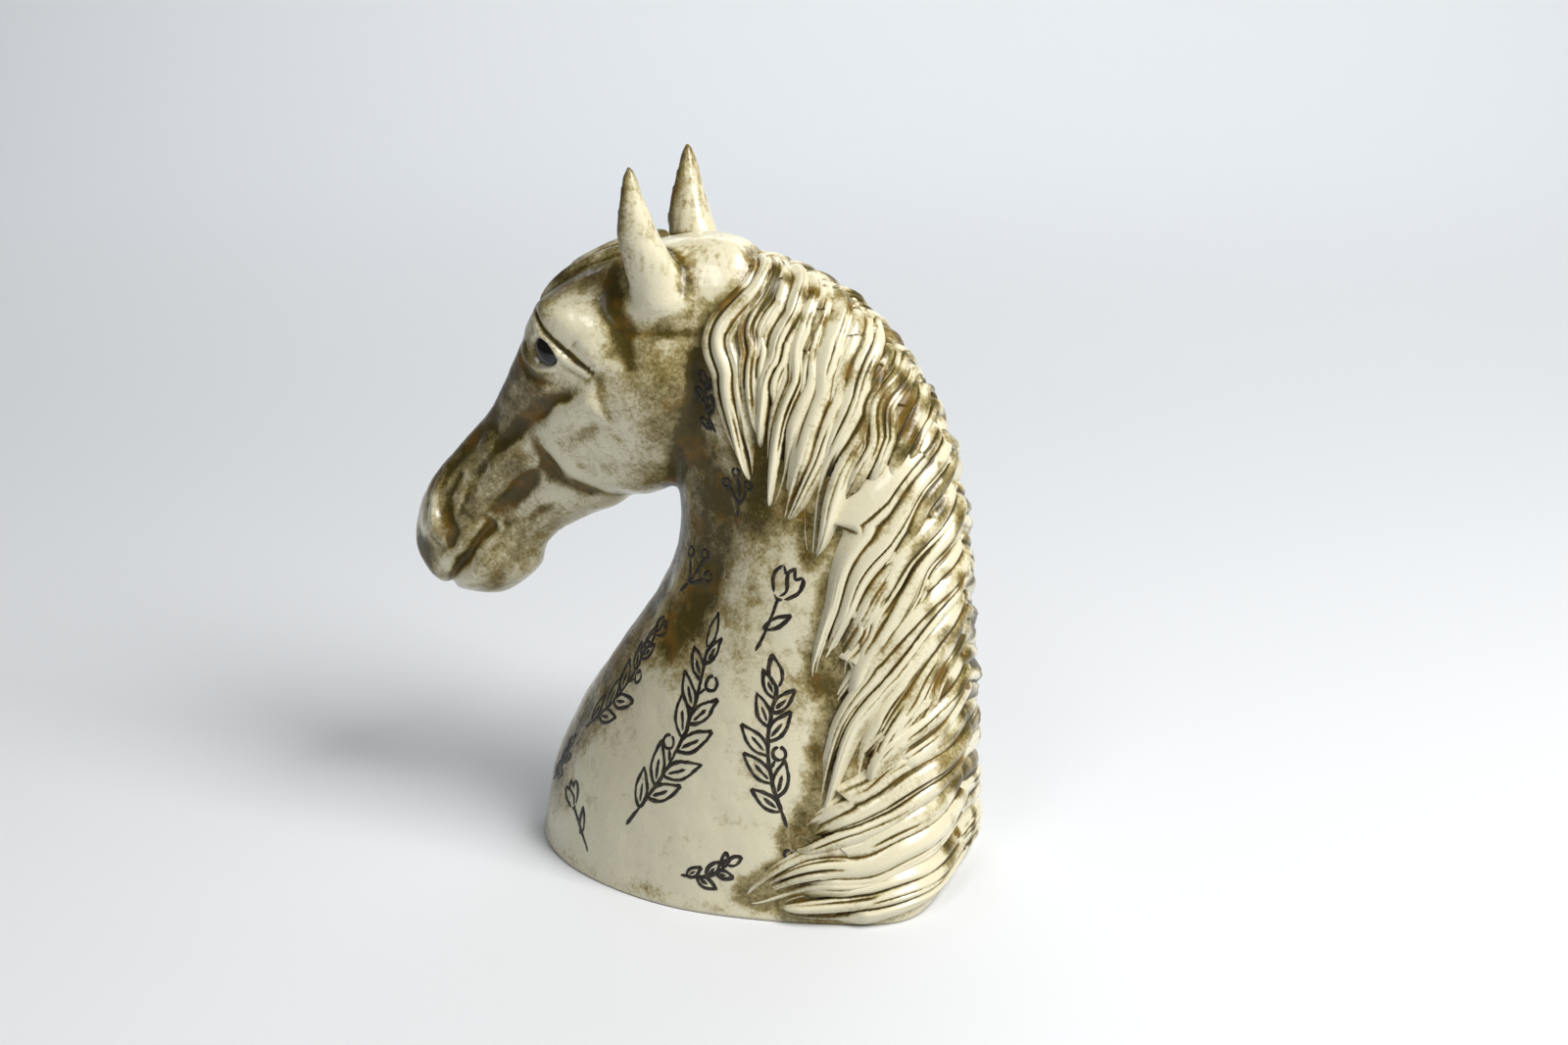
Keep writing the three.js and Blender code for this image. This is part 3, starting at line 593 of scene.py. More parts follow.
def new_material(name):
    """An empty material with its tree and its Object coordinates."""
    material = bpy.data.materials.new(name)
    material.use_nodes = True
    material.node_tree.nodes.clear()
    return material, material.node_tree, add_node(material.node_tree, "ShaderNodeTexCoord")


def noise(tree, place, scale, **settings):
    """Noise over Object coordinates in metres: one wave is about 1 / scale long."""
    return add_node(tree, "ShaderNodeTexNoise", {"Vector": (place, "Object")}, Scale=scale, **settings)


def weighted(tree, first, share, second):
    """The first (node, output) times a share, plus the second."""
    node = add_node(tree, "ShaderNodeMath", {0: first, 2: second}, operation="MULTIPLY_ADD")
    node.inputs[1].default_value = share
    return node


def mapped(tree, source, low, high, start=0.0, end=1.0, kind="LINEAR"):
    """A (node, output) taken from low..high to start..end."""
    return add_node(tree, "ShaderNodeMapRange", {"Value": source}, interpolation_type=kind,
                    From_Min=low, From_Max=high, To_Min=start, To_Max=end)


def mixed(tree, share, low, high):
    """A mix of two colours, each an RGBA or a (node, output)."""
    node = add_node(tree, "ShaderNodeMix", {0: share}, data_type="RGBA")
    for socket, value in ((6, low), (7, high)):
        if isinstance(value[0], bpy.types.Node):
            tree.links.new(value[0].outputs[value[1]], node.inputs[socket])
        else:
            node.inputs[socket].default_value = value
    return node


def bumped(tree, height, strength, distance, links=None):
    """A bump made from the height of a (node, output)."""
    links = {"Height": height, **(links or {})}
    return add_node(tree, "ShaderNodeBump", links, Strength=strength, Distance=distance)


def add_surface(tree, links, **settings):
    """The shader of a material and its output."""
    shader = add_node(tree, "ShaderNodeBsdfPrincipled", links, **settings)
    add_node(tree, "ShaderNodeOutputMaterial", {"Surface": (shader, 0)})


def glaze_material(name, stain_bias):
    """Glossy tin-white stoneware glaze brushed over iron oxide on hand-built clay, fired. The eye sees a wet
    shine, cream where the glaze is thick, tan and olive where it is thin, and rust to black where oxide lies
    in hollows. Hollows come from the mesh as the attributes hollow and stain."""
    colours = bpy.context.scene.horse_colours
    material, tree, place = new_material(name)
    hollow = add_node(tree, "ShaderNodeAttribute", attribute_name="hollow")
    stain = add_node(tree, "ShaderNodeAttribute", attribute_name="stain")
    # Clouds of thick and thin glaze 20 to 40 mm across, and brush marks 5 mm across.
    clouds = noise(tree, place, 38.0, Detail=4.0, Roughness=0.62)
    brushed = noise(tree, place, 170.0, Detail=5.0, Roughness=0.7, Distortion=0.8)
    # Specks where the glaze crawled back, 0.6 to 1.2 mm across.
    specks = noise(tree, place, 820.0, Detail=3.0, Roughness=0.65)
    thin = weighted(tree, (brushed, "Fac"), 0.8, (clouds, "Fac"))
    speckled = weighted(tree, (specks, "Fac"), 0.8, (thin, 0))
    # The stain field: what lies in hollows, what was brushed on, the painted shade that the broad washes and
    # the mane's crest add to it, and the clouds that break them up. The 1.3 is the mean of the clouds, brush
    # marks and specks together.
    gathered = weighted(tree, (hollow, "Fac"), 0.9, (stain, "Fac"))
    field = weighted(tree, (speckled, 0), 1.0, (gathered, 0))
    biased = add_node(tree, "ShaderNodeMath", {0: (field, 0)}, operation="ADD")
    biased.inputs[1].default_value = stain_bias - 1.3
    to_tan = mapped(tree, (biased, 0), -0.1, 0.42, kind="SMOOTHSTEP")
    to_olive = mapped(tree, (biased, 0), 0.18, 0.78, kind="SMOOTHSTEP")
    # Iron breaks to rust in patches about 15 mm across, and stays olive between them.
    patches = noise(tree, place, 75.0, Detail=3.0, Roughness=0.6)
    rusty = ramp(tree, patches, "Fac", ((0.5, 0.0), (0.72, 0.9)))
    wash = mixed(tree, (rusty, "Color"), colours.olive, colours.rust)
    body = mixed(tree, (to_tan, 0), colours.cream, colours.tan)
    washed = mixed(tree, (to_olive, 0), (body, 2), (wash, 2))
    sooty = weighted(tree, (stain, "Fac"), 0.35, (brushed, "Fac"))
    deep = weighted(tree, (hollow, "Fac"), 0.75, (sooty, 0))
    to_dark = mapped(tree, (deep, 0), 1.02, 1.7, kind="SMOOTHSTEP")
    dark = mixed(tree, (to_dark, 0), (washed, 2), colours.umber)
    # Tool marks 4 mm across and pinholes under a millimetre, left by the clay under the glaze.
    pressed = noise(tree, place, 240.0, Detail=2.0)
    marks = bumped(tree, (pressed, "Fac"), 0.35, 0.35 * MM)
    pits = bumped(tree, (specks, "Fac"), 0.35, 0.08 * MM, {"Normal": (marks, 0)})
    rough = mapped(tree, (speckled, 0), 0.95, 1.65, 0.2, 0.42)
    # Where oxide comes through, the glaze is drier and mirrors less.
    mirror = mapped(tree, (to_olive, 0), 0.0, 1.0, 0.5, 0.2)
    coat = mapped(tree, (to_olive, 0), 0.0, 1.0, 0.5, 0.1)
    add_surface(tree, {"Base Color": (dark, 2), "Roughness": (rough, 0), "Normal": (pits, 0),
                       "Specular IOR Level": (mirror, 0), "Coat Weight": (coat, 0)},
                IOR=1.5, Coat_Roughness=0.09, Coat_IOR=1.5)
    return material


def black_glaze_material():
    """Gloss black glaze on the eyes, thick and smooth: a mirror-like highlight on near black."""
    material, tree, place = new_material("gloss_black_glaze")
    # Faint brown cloud, 4 mm across, where the glaze runs thin.
    cloud = noise(tree, place, 260.0, Detail=2.0)
    tone = mixed(tree, (cloud, "Fac"), linear("#050505"), linear("#19130D"))
    swell = bumped(tree, (cloud, "Fac"), 0.2, 0.2 * MM)
    add_surface(tree, {"Base Color": (tone, 2), "Normal": (swell, 0)}, Roughness=0.12, IOR=1.52)
    return material


def line_material():
    """Black oxide slip brushed on in thin lines and glazed over: nearly black, and brown where worn thin."""
    material, tree, place = new_material("brushed_oxide_slip")
    # Dry patches in the stroke, 1 to 3 mm long.
    dry = noise(tree, place, 520.0, Detail=3.0, Roughness=0.7)
    worn = ramp(tree, dry, "Fac", ((0.5, 0.0), (0.74, 0.75)))
    tone = mixed(tree, (worn, "Color"), bpy.context.scene.horse_colours.soot, linear("#5E4E33"))
    grain = bumped(tree, (dry, "Fac"), 0.3, 0.15 * MM)
    add_surface(tree, {"Base Color": (tone, 2), "Normal": (grain, 0)}, Roughness=0.38, IOR=1.5)
    return material


def clay_material():
    """Bare fired stoneware inside the hollow and under the foot: dry, sandy, ochre."""
    material, tree, place = new_material("bare_stoneware")
    # Grit of 1 mm and flame marks of 25 mm.
    grit = noise(tree, place, 900.0, Detail=3.0, Roughness=0.7)
    flame = noise(tree, place, 40.0, Detail=4.0)
    both = add_node(tree, "ShaderNodeMath", {0: (grit, "Fac"), 1: (flame, "Fac")}, operation="MULTIPLY")
    shade = ramp(tree, both, 0, ((0.12, 0.0), (0.42, 1.0)))
    tone = mixed(tree, (shade, "Color"), linear("#6E5330"), bpy.context.scene.horse_colours.clay)
    sand = bumped(tree, (grit, "Fac"), 0.6, 0.2 * MM)
    add_surface(tree, {"Base Color": (tone, 2), "Normal": (sand, 0)}, Roughness=0.85, IOR=1.5)
    return material


def material_named(name):
    """The material of that name, made at its first use."""
    makers = {
        "white_glaze_over_oxide": lambda: glaze_material(name, 0.0),
        "stained_mane_glaze": lambda: glaze_material(name, -0.03),
        "gloss_black_glaze": black_glaze_material,
        "brushed_oxide_slip": line_material,
        "bare_stoneware": clay_material,
    }
    return bpy.data.materials.get(name) or makers[name]()


# The skin of neck, head and ears

def body_of_surface(surface, around, along, below=0):
    """A closed body inside a surface; below lengthens it under its first ring."""
    def place(s, a):
        v = np.clip(s * 1.04 - 0.02, 0, 1)
        points = surface.point(a, v)
        points[:, 2] -= below * (s < 0.015)
        shut = at_end(s)
        middle = surface.point(np.arange(12) / 12, np.zeros(12)).mean(0) - (0, 0, below)
        end = surface.point(np.arange(12) / 12, np.ones(12)).mean(0)
        points[shut] = np.where(s[shut, None] < 0.5, middle, end)
        return points * MM, None
    return moved_grid(along, around, place)


def ear_body(side):
    """An ear with its opening scooped out from the front: its outline runs round the back from one rim to the
    other, and back along the inside."""
    heights = np.array([r[0] for r in EAR_RINGS], float)
    columns = np.array([(r[1][0], r[1][1], r[2], r[3]) for r in EAR_RINGS], float)
    scoop_depth = np.array((0, 0.1, 0.75, 0.8, 0.72, 0.5, 0))

    def place(s, a):
        z = smoothstep(s, 0, 1) * 0.35 + s * 0.65
        front, back, half, out = (np.interp(z * 100, heights, columns[:, i]) for i in range(4))
        scooped = np.interp(z * 100, heights, scoop_depth)
        x0 = HEAD_ORIGIN[0] + front / 100 * EAR_DEPTH
        x1 = HEAD_ORIGIN[0] + back / 100 * EAR_DEPTH - EAR_DRAWN_IN * np.sin(math.pi * z) ** 2
        wide = half / 200 * EAR_WIDTH
        across = out / 200 * HEAD_WIDTH
        outer = a < EAR_OUTER
        turn = np.where(outer, (a / EAR_OUTER - 0.5) * 2, 1 - 2 * (a - EAR_OUTER) / (1 - EAR_OUTER))
        angle = turn * math.pi * EAR_REACH
        deep = (x1 - x0) / 2
        x = (x0 + x1) / 2 + deep * np.cos(angle)
        y = wide * np.sin(angle)
        # The inside: a narrower curve that runs back from the rims towards the back wall.
        inner_turn = (a - EAR_OUTER) / (1 - EAR_OUTER) * 2 - 1
        rim_x = (x0 + x1) / 2 + deep * math.cos(math.pi * EAR_REACH)
        rim_y = wide * math.sin(math.pi * EAR_REACH)
        inner_x = rim_x + (1 - inner_turn**2) * scooped * (x1 - 3.0 - rim_x)
        inner_y = -rim_y * inner_turn * (1 + 0.35 * (1 - inner_turn**2) * (scooped > 0.2))
        x = np.where(outer, x, inner_x)
        y = np.where(outer, y, inner_y)
        lean = 1.2 * np.sin(z * 4)
        points = np.stack((x, side * (across + lean * 0.4 + y), HEAD_ORIGIN[2] + z * EAR_HEIGHT), 1)
        points[:, 2] -= 6 * (s < 0.03)
        shut = at_end(s)
        points[shut, 0] = ((x0 + x1) / 2)[shut]
        points[shut, 1] = side * across[shut]
        return points * MM, None
    return moved_grid(44, 56, place)


def remeshed(bm, voxel):
    """The outside of overlapping closed bodies as one even mesh."""
    rough = to_object(bm, "clay_bodies")
    modifier = rough.modifiers.new("fuse", "REMESH")
    modifier.mode = "VOXEL"
    modifier.voxel_size = voxel
    modifier.adaptivity = 0
    fused = bpy.data.meshes.new_from_object(rough.evaluated_get(bpy.context.evaluated_depsgraph_get()))
    bpy.data.objects.remove(rough)
    out = bmesh.new()
    out.from_mesh(fused)
    bpy.data.meshes.remove(fused)
    return out


def refine(bm, wanted):
    """Divides the faces whose corners all are wanted."""
    faces = [f for f in bm.faces if all(wanted[v.index] for v in f.verts)]
    edges = {e for f in faces for e in f.edges}
    bmesh.ops.subdivide_edges(bm, edges=list(edges), cuts=1, use_grid_fill=True, smooth=0.0)
    bm.verts.ensure_lookup_table()
    bm.verts.index_update()


def side_weight(normals):
    """How far a point faces sideways, from 0 to 1."""
    return smoothstep(np.abs(normals[:, 1]), 0.12, 0.45)


def pushed_by_strokes(points, normals):
    """How far each point of the head, in millimetres, is pushed out by its strokes and eye sockets."""
    along, above = on_head_line(points)
    flat = np.stack((along, above), 1)
    total = np.zeros(len(points))
    waver = np.stack((lumps(points, 21, 16), lumps(points, 22, 16)), 1) * 0.7
    for line, reach, rise in HEAD_STROKES:
        total += rise * pressed_along(flat + waver, line, reach)
    socket = np.hypot(*((flat - SOCKET_MIDDLE) / SOCKET_HALF_SIZES).T)
    total -= SOCKET_DEPTH * smoothstep(1.15 - socket, 0, 0.6)
    total *= side_weight(normals)
    for line, reach, rise in ROUND_STROKES:
        total += rise * pressed_along(flat + waver * 0.5, line, reach)
    return total * head_nearness(points)


def head_nearness(points):
    """1 on the head, 0 on the neck behind and under it."""
    along, above = on_head_line(points)
    return smoothstep(above + 52 - 0.18 * np.maximum(along, 0), 0, 6) * smoothstep(along, -20, -12)


def neck_lines(lines):
    """Lines on the neck's left and right side as points in millimetres."""
    for line, reach, strength in lines:
        t = np.linspace(0, 1, 14)
        uv = spline(line, t)
        for u in (uv[:, 0], 1 - uv[:, 0]):
            yield NECK.point(u, uv[:, 1]), reach, strength


class HORSE_OT_skin(bpy.types.Operator):
    """Neck, head and ears as one skin of clay, with its lids, nostrils, mouth, foot rim and hollow"""
    bl_idname = "horse.skin"
    bl_label = "Skin"

    def execute(self, context):
        sizes = context.scene.horse_sizes
        bm = body_of_surface(NECK, 96, 72, below=6)
        for part in (body_of_surface(HEAD, 96, 90), ear_body(-1), ear_body(1)):
            join_into(bm, part)
        bm = remeshed(bm, sizes.voxel)
        smooth_joints(bm)
        points = vertex_array(bm) / MM
        along, above = on_head_line(points)
        muzzle = (along > 98) & (above > -30)
        eyes = (np.hypot(along - 37, above - 21) < 16) & (np.abs(points[:, 1]) > 12)
        refine(bm, muzzle | eyes)
        cut_foot(bm, sizes.wall / MM)
        skin = to_object(bm, "clay_skin")
        sculpt(skin.data)
        add_stains_and_shade(skin.data)
        finish_piece(skin, material_named("white_glaze_over_oxide"), (
            "neck_shell", "head_shell", "ear_left", "ear_right", "eyelids_left", "eyelids_right"))
        skin.data.materials.append(material_named("bare_stoneware"))
        return {"FINISHED"}


def smooth_joints(bm):
    """Works the luted joints of head, neck and ears over with a wet finger."""
    points = vertex_array(bm) / MM
    edges = np.array([(e.verts[0].index, e.verts[1].index) for e in bm.edges])
    along, above = on_head_line(points)
    joint = np.exp(-(np.hypot(along + 12, above + 18) / 30) ** 2)
    joint += 0.9 * np.exp(-((along - 12) / 20) ** 2) * (above < -22)
    ear_roots = np.zeros(len(points))
    for side in (-1, 1):
        root = HEAD_ORIGIN + (0, side * 19, 16)
        ear_roots += np.exp(-(np.linalg.norm((points - root) * (1, 1, 1.3), axis=1) / 13) ** 2)
    keep = 1 - np.clip(joint + 0.75 * ear_roots, 0, 1)
    points = relaxed(points, edges, 14, keep)
    ears = (points[:, 2] > 228) & (np.abs(points[:, 1]) > 12)
    points = relaxed(points, edges, 2, ears * 0.7)
    set_vertices(bm, points * MM)


def cut_foot(bm, wall):
    """Opens the foot, turns its edge in over a rounded rim and carries the wall up inside the neck."""
    geometry = [*bm.verts, *bm.edges, *bm.faces]
    bmesh.ops.bisect_plane(
        bm, geom=geometry, dist=1e-7, plane_co=(0, 0, FOOT_CUT * MM), plane_no=(0, 0, -1), clear_outer=True)
    bare = bm.verts.layers.float.new("bare")
    loop = [e for e in bm.edges if e.is_boundary]
    ring_u = np.arange(1440) / 1440
    ring = NECK.point(ring_u, np.zeros(1440))[:, :2]
    first = {v for e in loop for v in e.verts}
    turn = {v: ring_u[np.argmin(np.sum((ring - np.array(v.co[:2]) / MM) ** 2, 1))] for v in first}
    rim = ((0.35, 0.35), (1.2, 0), (wall * 0.5, 0.1), (wall - 1.2, 0), (wall - 0.3, 0.5), (wall, 1.6))
    inside = [(wall, v) for v in np.linspace(0.03, 0.93, 16)]
    for step, (inward, height) in enumerate([*rim, *inside]):
        made = bmesh.ops.extrude_edge_only(bm, edges=loop)["geom"]
        verts = [g for g in made if isinstance(g, bmesh.types.BMVert)]
        new_edges = [g for g in made if isinstance(g, bmesh.types.BMEdge) and g.is_boundary]
        fresh = set(verts)
        for v in verts:
            turn[v] = next(turn[e.other_vert(v)] for e in v.link_edges if e.other_vert(v) not in fresh)
        u = np.array([turn[v] for v in verts])
        up = np.full(len(u), 0.0 if step < len(rim) else height)
        normal = NECK.tangents(u, up)[2]
        if step < len(rim):
            normal = unit(normal * (1, 1, 0))
        place = NECK.point(u, up) - normal * inward
        if step < len(rim):
            place[:, 2] = height
        for v, co in zip(verts, place * MM):
            v.co = co
            v[bare] = 1
        loop = new_edges
    bmesh.ops.holes_fill(bm, edges=loop, sides=0)
    for face in bm.faces:
        face.material_index = int(all(v[bare] > 0.5 for v in face.verts))
    bmesh.ops.recalc_face_normals(bm, faces=bm.faces)


def sculpt(mesh):
    """Presses the small forms into the skin and leaves the slight unevenness of handwork."""
    points = mesh_points(mesh) / MM
    normals = mesh_normals(mesh)
    push = pushed_by_strokes(points, normals)
    for line, reach, rise in neck_lines(NECK_STROKES):
        push += rise * np.exp(-1.4 * (distance_to_line(points, line) / reach) ** 2)
    uneven = 0.35 * lumps(points, 3, 34) + 0.14 * lumps(points, 4, 12) + 0.05 * lumps(points, 5, 5)
    outside = smoothstep(points[:, 2], 1, 5) * (1 - get_attribute(mesh, "bare"))
    set_points(mesh, (points + normals * ((push + uneven - 0.25) * outside)[:, None]) * MM)


def set_points(mesh, points):
    mesh.vertices.foreach_set("co", np.asarray(points, np.float32).ravel())
    mesh.update()


def hollowness(points, normals, edges, rounds, depth):
    """How deep a point lies under its smoothed surroundings, as a share of a depth in millimetres."""
    return np.sum((relaxed(points, edges, rounds) - points) * normals, 1) / depth


def wash_and_shade_along(points, line, reach):
    """The weight, from 0 to 1, of a soft wash along a line: oxide, and partly painted shade."""
    return np.exp(-(distance_to_line(points, line) / reach) ** 2)


def add_stains_and_shade(mesh):
    """Lets oxide gather in hollows, under the mane and where it was brushed on, and paints shade where the
    broad washes cover faces turned away from the light.
    """
    points, normals, edges = mesh_points(mesh) / MM, mesh_normals(mesh), mesh_edges(mesh)
    fine = hollowness(points, normals, edges, 8, 0.22)
    wide = hollowness(points, normals, edges, 60, 1.2)
    set_attribute(mesh, "hollow", np.clip(0.4 * fine + 0.35 * wide, -0.2, 0.65))
    along, above = on_head_line(points)
    flat = np.stack((along, above), 1)
    flat += np.stack((lumps(points, 31, 9), lumps(points, 32, 9)), 1) * 1.3
    head = np.zeros(len(points))
    for line, reach, strength in HEAD_STAINS:
        head = np.maximum(head, strength * pressed_along(flat, line, reach))
    # Broad washes: oxide, and painted shade on the faces turned away from the light.
    for line, reach, strength in HEAD_WASHES_AND_SHADE:
        head = np.maximum(head, strength * wash_and_shade_along(flat, line, reach))
    stain = head * head_nearness(points)
    # Neck washes, partly the painted shadow under the jaw and painted shade down the throat.
    for line, reach, strength in neck_lines(NECK_STAINS_AND_SHADE):
        stain = np.maximum(stain, strength * wash_and_shade_along(points, line, reach))
    stain = np.maximum(stain, 0.7 * lock_nearness(points))
    stain = np.maximum(stain, ear_stain(points))
    # The glaze lies thick low on the neck's sides, so little comes through there.
    thick = 0.11 * smoothstep(-points[:, 2], -100, -40) * smoothstep(np.abs(points[:, 1]), 12, 30)
    set_attribute(mesh, "stain", stain * 0.9 - thick)


def ear_stain(points):
    """Dark along the front edge of an ear and at its tip, with faint streaks up its back."""
    heights = [r[0] / 100 * EAR_HEIGHT + HEAD_ORIGIN[2] for r in EAR_RINGS]
    fronts = [r[1][0] / 100 * EAR_DEPTH + HEAD_ORIGIN[0] for r in EAR_RINGS]
    edge = np.exp(-((points[:, 0] - np.interp(points[:, 2], heights, fronts)) / 5.5) ** 2)
    tip = np.exp(-((points[:, 2] - heights[-1]) / 6) ** 2)
    on_ear = smoothstep(points[:, 2], heights[1] + 2, heights[2]) * (np.abs(points[:, 1]) > 10)
    streaks = 0.2 + 0.22 * lumps(points * (1, 1, 0.25), 61, 3)
    return np.maximum(np.maximum(0.95 * edge, 0.9 * tip), streaks) * on_ear


def lock_nearness(points):
    """1 beside a lock of the mane, falling to 0 within a few millimetres."""
    near = np.zeros(len(points))
    for _, _, _, width, path in mane_paths():
        t = np.linspace(0.05, 1, 24)
        uv = spline(path, t)
        centre = NECK.point(uv[:, 0], uv[:, 1])
        edge = width / 2 * taper(t)
        away = np.linalg.norm(points[:, None] - centre[None], axis=2) - edge[None]
        near = np.maximum(near, np.exp(-(np.maximum(away.min(1), 0) / 3.5) ** 2))
    return near


# Eyes

class HORSE_OT_eyes(bpy.types.Operator):
    """Two balls of gloss black glaze set into the eye sockets"""
    bl_idname = "horse.eyes"
    bl_label = "Eyes"

    def execute(self, context):
        for name, side in (("left", -1), ("right", 1)):
            low, high = (np.array(corner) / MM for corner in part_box(f"eye_{name}"))
            middle = (low + high) / 2
            bm = bmesh.new()
            bmesh.ops.create_uvsphere(bm, u_segments=48, v_segments=28, radius=1)
            ball = vertex_array(bm)
            outward = unit(np.array(EYE_OUTWARD) * (1, side, 1))
            tall = unit(HEAD_UP - outward * (HEAD_UP @ outward))
            long = np.cross(tall, outward)
            ball = (ball * EYE_HALF_SIZES) @ np.stack((long, tall, outward))
            set_vertices(bm, (middle + ball - outward * EYE_SUNK) * MM)
            bmesh.ops.recalc_face_normals(bm, faces=bm.faces)
            eye = to_object(bm, f"eyeball_{name}")
            finish_piece(eye, material_named("gloss_black_glaze"), (f"eye_{name}",))
        return {"FINISHED"}


# Mane

def mane_paths():
    """Each lock's name, node, side, width in millimetres and path on the neck."""
    for name, side in (("left", -1), ("right", 1)):
        order = 0
        for i, (width, path) in enumerate(MANE_LOCKS):
            if i == 1 and side > 0:
                continue
            order += 1
            line = [(u if side < 0 else 1 - u, v) for u, v in path]
            place = f"{name}_{order:02d}"
            yield f"lock_{place}", f"mane_{place}", side, width / 100 * NECK_HEIGHT, line


def taper(t):
    t = np.asarray(t, float)
    late = np.clip((t - 0.55) / 0.45, 0, 1)
    return np.where(t < 0.55, 1, 0.14 + 0.86 * np.cos(late * math.pi / 2) ** 0.8)


def strand_relief(across, along, half, seed, groove, body):
    """The height of a lock's back over the clay in millimetres, and the stain on it: across runs from -1 to
    1 and along from 0 to 1, and body is the height without strands. Three main strands sway as in the
    solids; each has finer grooves and ends in a point of its own."""
    rng = np.random.default_rng(seed)
    sway = 0.12 * np.sin(2 * math.pi * along) + 0.12 * wander(along, seed + 1, 0.33)
    place = across - sway * (1 - across**2)
    cuts = np.array((-0.34, 0.32)) + rng.uniform(-0.1, 0.1, 2)
    bounds = [np.full_like(along, -1.0),
              *(cut + 0.09 * wander(along, seed + 11 + i, 0.25) for i, cut in enumerate(cuts)),
              np.full_like(along, 1.0)]
    height = np.zeros_like(across)
    stain = np.zeros_like(across)
    last = rng.integers(0, 3)
    for k, (low, high) in enumerate(zip(bounds[:-1], bounds[1:])):
        q = (place - low) / (high - low)
        inside = (q >= 0) & (q <= 1)
        lean = rng.uniform(-0.22, 0.22)
        bent = np.clip(q + lean * np.sin(math.pi * np.clip(q, 0, 1)), 0, 1)
        crown = np.clip(1 - np.abs(2 * bent - 1) ** 1.9, 0, 1) ** 0.85
        level = 0.45 * wander(along, seed + 31 + k, 0.35) + rng.uniform(-0.45, 0.35)
        end = 1.05 if k == last else rng.uniform(0.72, 1.0)
        gone = smoothstep(along, end - 0.22, end)
        crown *= 1 - gone * np.clip(np.abs(2 * q - 1) * 1.6, 0, 1)
        fine = np.zeros_like(across)
        strand_mm = half * (high - low)
        for j in range(4):
            start = rng.uniform(-0.2, 0.7)
            stop = start + rng.uniform(0.25, 0.7)
            at = rng.uniform(0.12, 0.88) + 0.12 * wander(along, seed + 51 + 5 * k + j, 0.3)
            width = rng.uniform(0.35, 0.6) / np.maximum(strand_mm, 1.5)
            seen = smoothstep(along, start, start + 0.15) * (1 - smoothstep(along, stop - 0.15, stop))
            fine += rng.uniform(0.3, 0.85) * np.exp(-((q - at) / width) ** 2) * seen
        fine *= smoothstep(strand_mm, 1.2, 3.0)
        own = body + crown * (groove + level) - fine * np.clip(crown * 1.5, 0, 1) - gone * (body + 1.3)
        height = np.where(inside, own, height)
        side_wash = rng.uniform(-0.4, 0.5) * (q - 0.5) + rng.uniform(-0.16, 0.2)
        worn = rng.uniform(0, 1) * (1 - smoothstep(along, 0.03, 0.16))
        stain = np.where(inside, 1.3 * side_wash + 0.34 * fine + 0.3 * gone + 0.6 * worn * (1 - crown), stain)
    return height, stain


def lock_points(surface, path, width, rise, seed, sizes, side):
    """Places a lock's closed skin: s runs from root to tip, and a over its back and then under it."""
    middle_line = surface.point(*spline(path, np.linspace(0, 1, 40)).T)
    length = np.linalg.norm(np.diff(middle_line, axis=0), axis=1).sum()
    rng = np.random.default_rng(seed + 2)
    tilt = rng.uniform(0.2, 1.0) * -side
    root_dip = rng.uniform(0.4, 2.4)

    def place(s, a):
        t = np.clip(s, 0, 1)
        uv = spline(path, t)
        ahead = spline(path, t + 0.01) - spline(path, t - 0.01)
        round_u, along_v, normal = surface.tangents(uv[:, 0], uv[:, 1])
        sideways = np.cross(normal, unit(round_u * ahead[:, :1] + along_v * ahead[:, 1:]))
        over = a < LOCK_BACK
        across = np.where(over, 2 * a / LOCK_BACK - 1, 1 - 2 * (a - LOCK_BACK) / (1 - LOCK_BACK))
        slim = np.clip(taper(t) - 0.1 * smoothstep(t, 0.9, 1), 0.02, 1)
        slim *= 0.9 + 0.1 * np.sin(math.pi * np.minimum(1, 1.5 * t))
        half = width / 2 * 1.14 * slim
        waver = 0.1 * width * wander(t, seed + 5, 0.35) * smoothstep(t, 0.05, 0.3)
        move = sideways * (across * half + waver)[:, None]
        pairs = ((round_u, round_u), (round_u, along_v), (along_v, along_v))
        uu, uv_, vv = (np.sum(x * y, 1) for x, y in pairs)
        mu, mv = np.sum(move * round_u, 1), np.sum(move * along_v, 1)
        scale = 1 / (uu * vv - uv_ * uv_)
        u = uv[:, 0] + (mu * vv - mv * uv_) * scale
        v = uv[:, 1] + (mv * uu - mu * uv_) * scale
        arch = np.sqrt(np.clip(1 - np.abs(across) ** 2.6, 0, 1))
        groove = sizes.groove / MM * np.minimum(1, half / 3.2)
        body = (rise - sizes.groove / MM) * (0.3 + 0.7 * taper(t)) + tilt * across
        height, stain = strand_relief(across, t, half, seed, groove, body)
        height = height * arch - 2.2 * (1 - arch) - root_dip * (1 - smoothstep(t, 0, 0.06))
        height -= 1.5 * smoothstep(t, 0.94, 1)
        height = np.where(over, height, -LOCK_DEPTH)
        points = surface.point(u, v) + surface.tangents(u, v)[2] * height[:, None]
        shut = at_end(s)
        pole = surface.point(uv[:, 0], uv[:, 1]) - normal * 1.5
        points[shut] = pole[shut]
        points[:, 2] = np.maximum(points[:, 2], LOCK_GROUND)
        return points * MM, np.where(over, stain, 0.3)

    return place, length


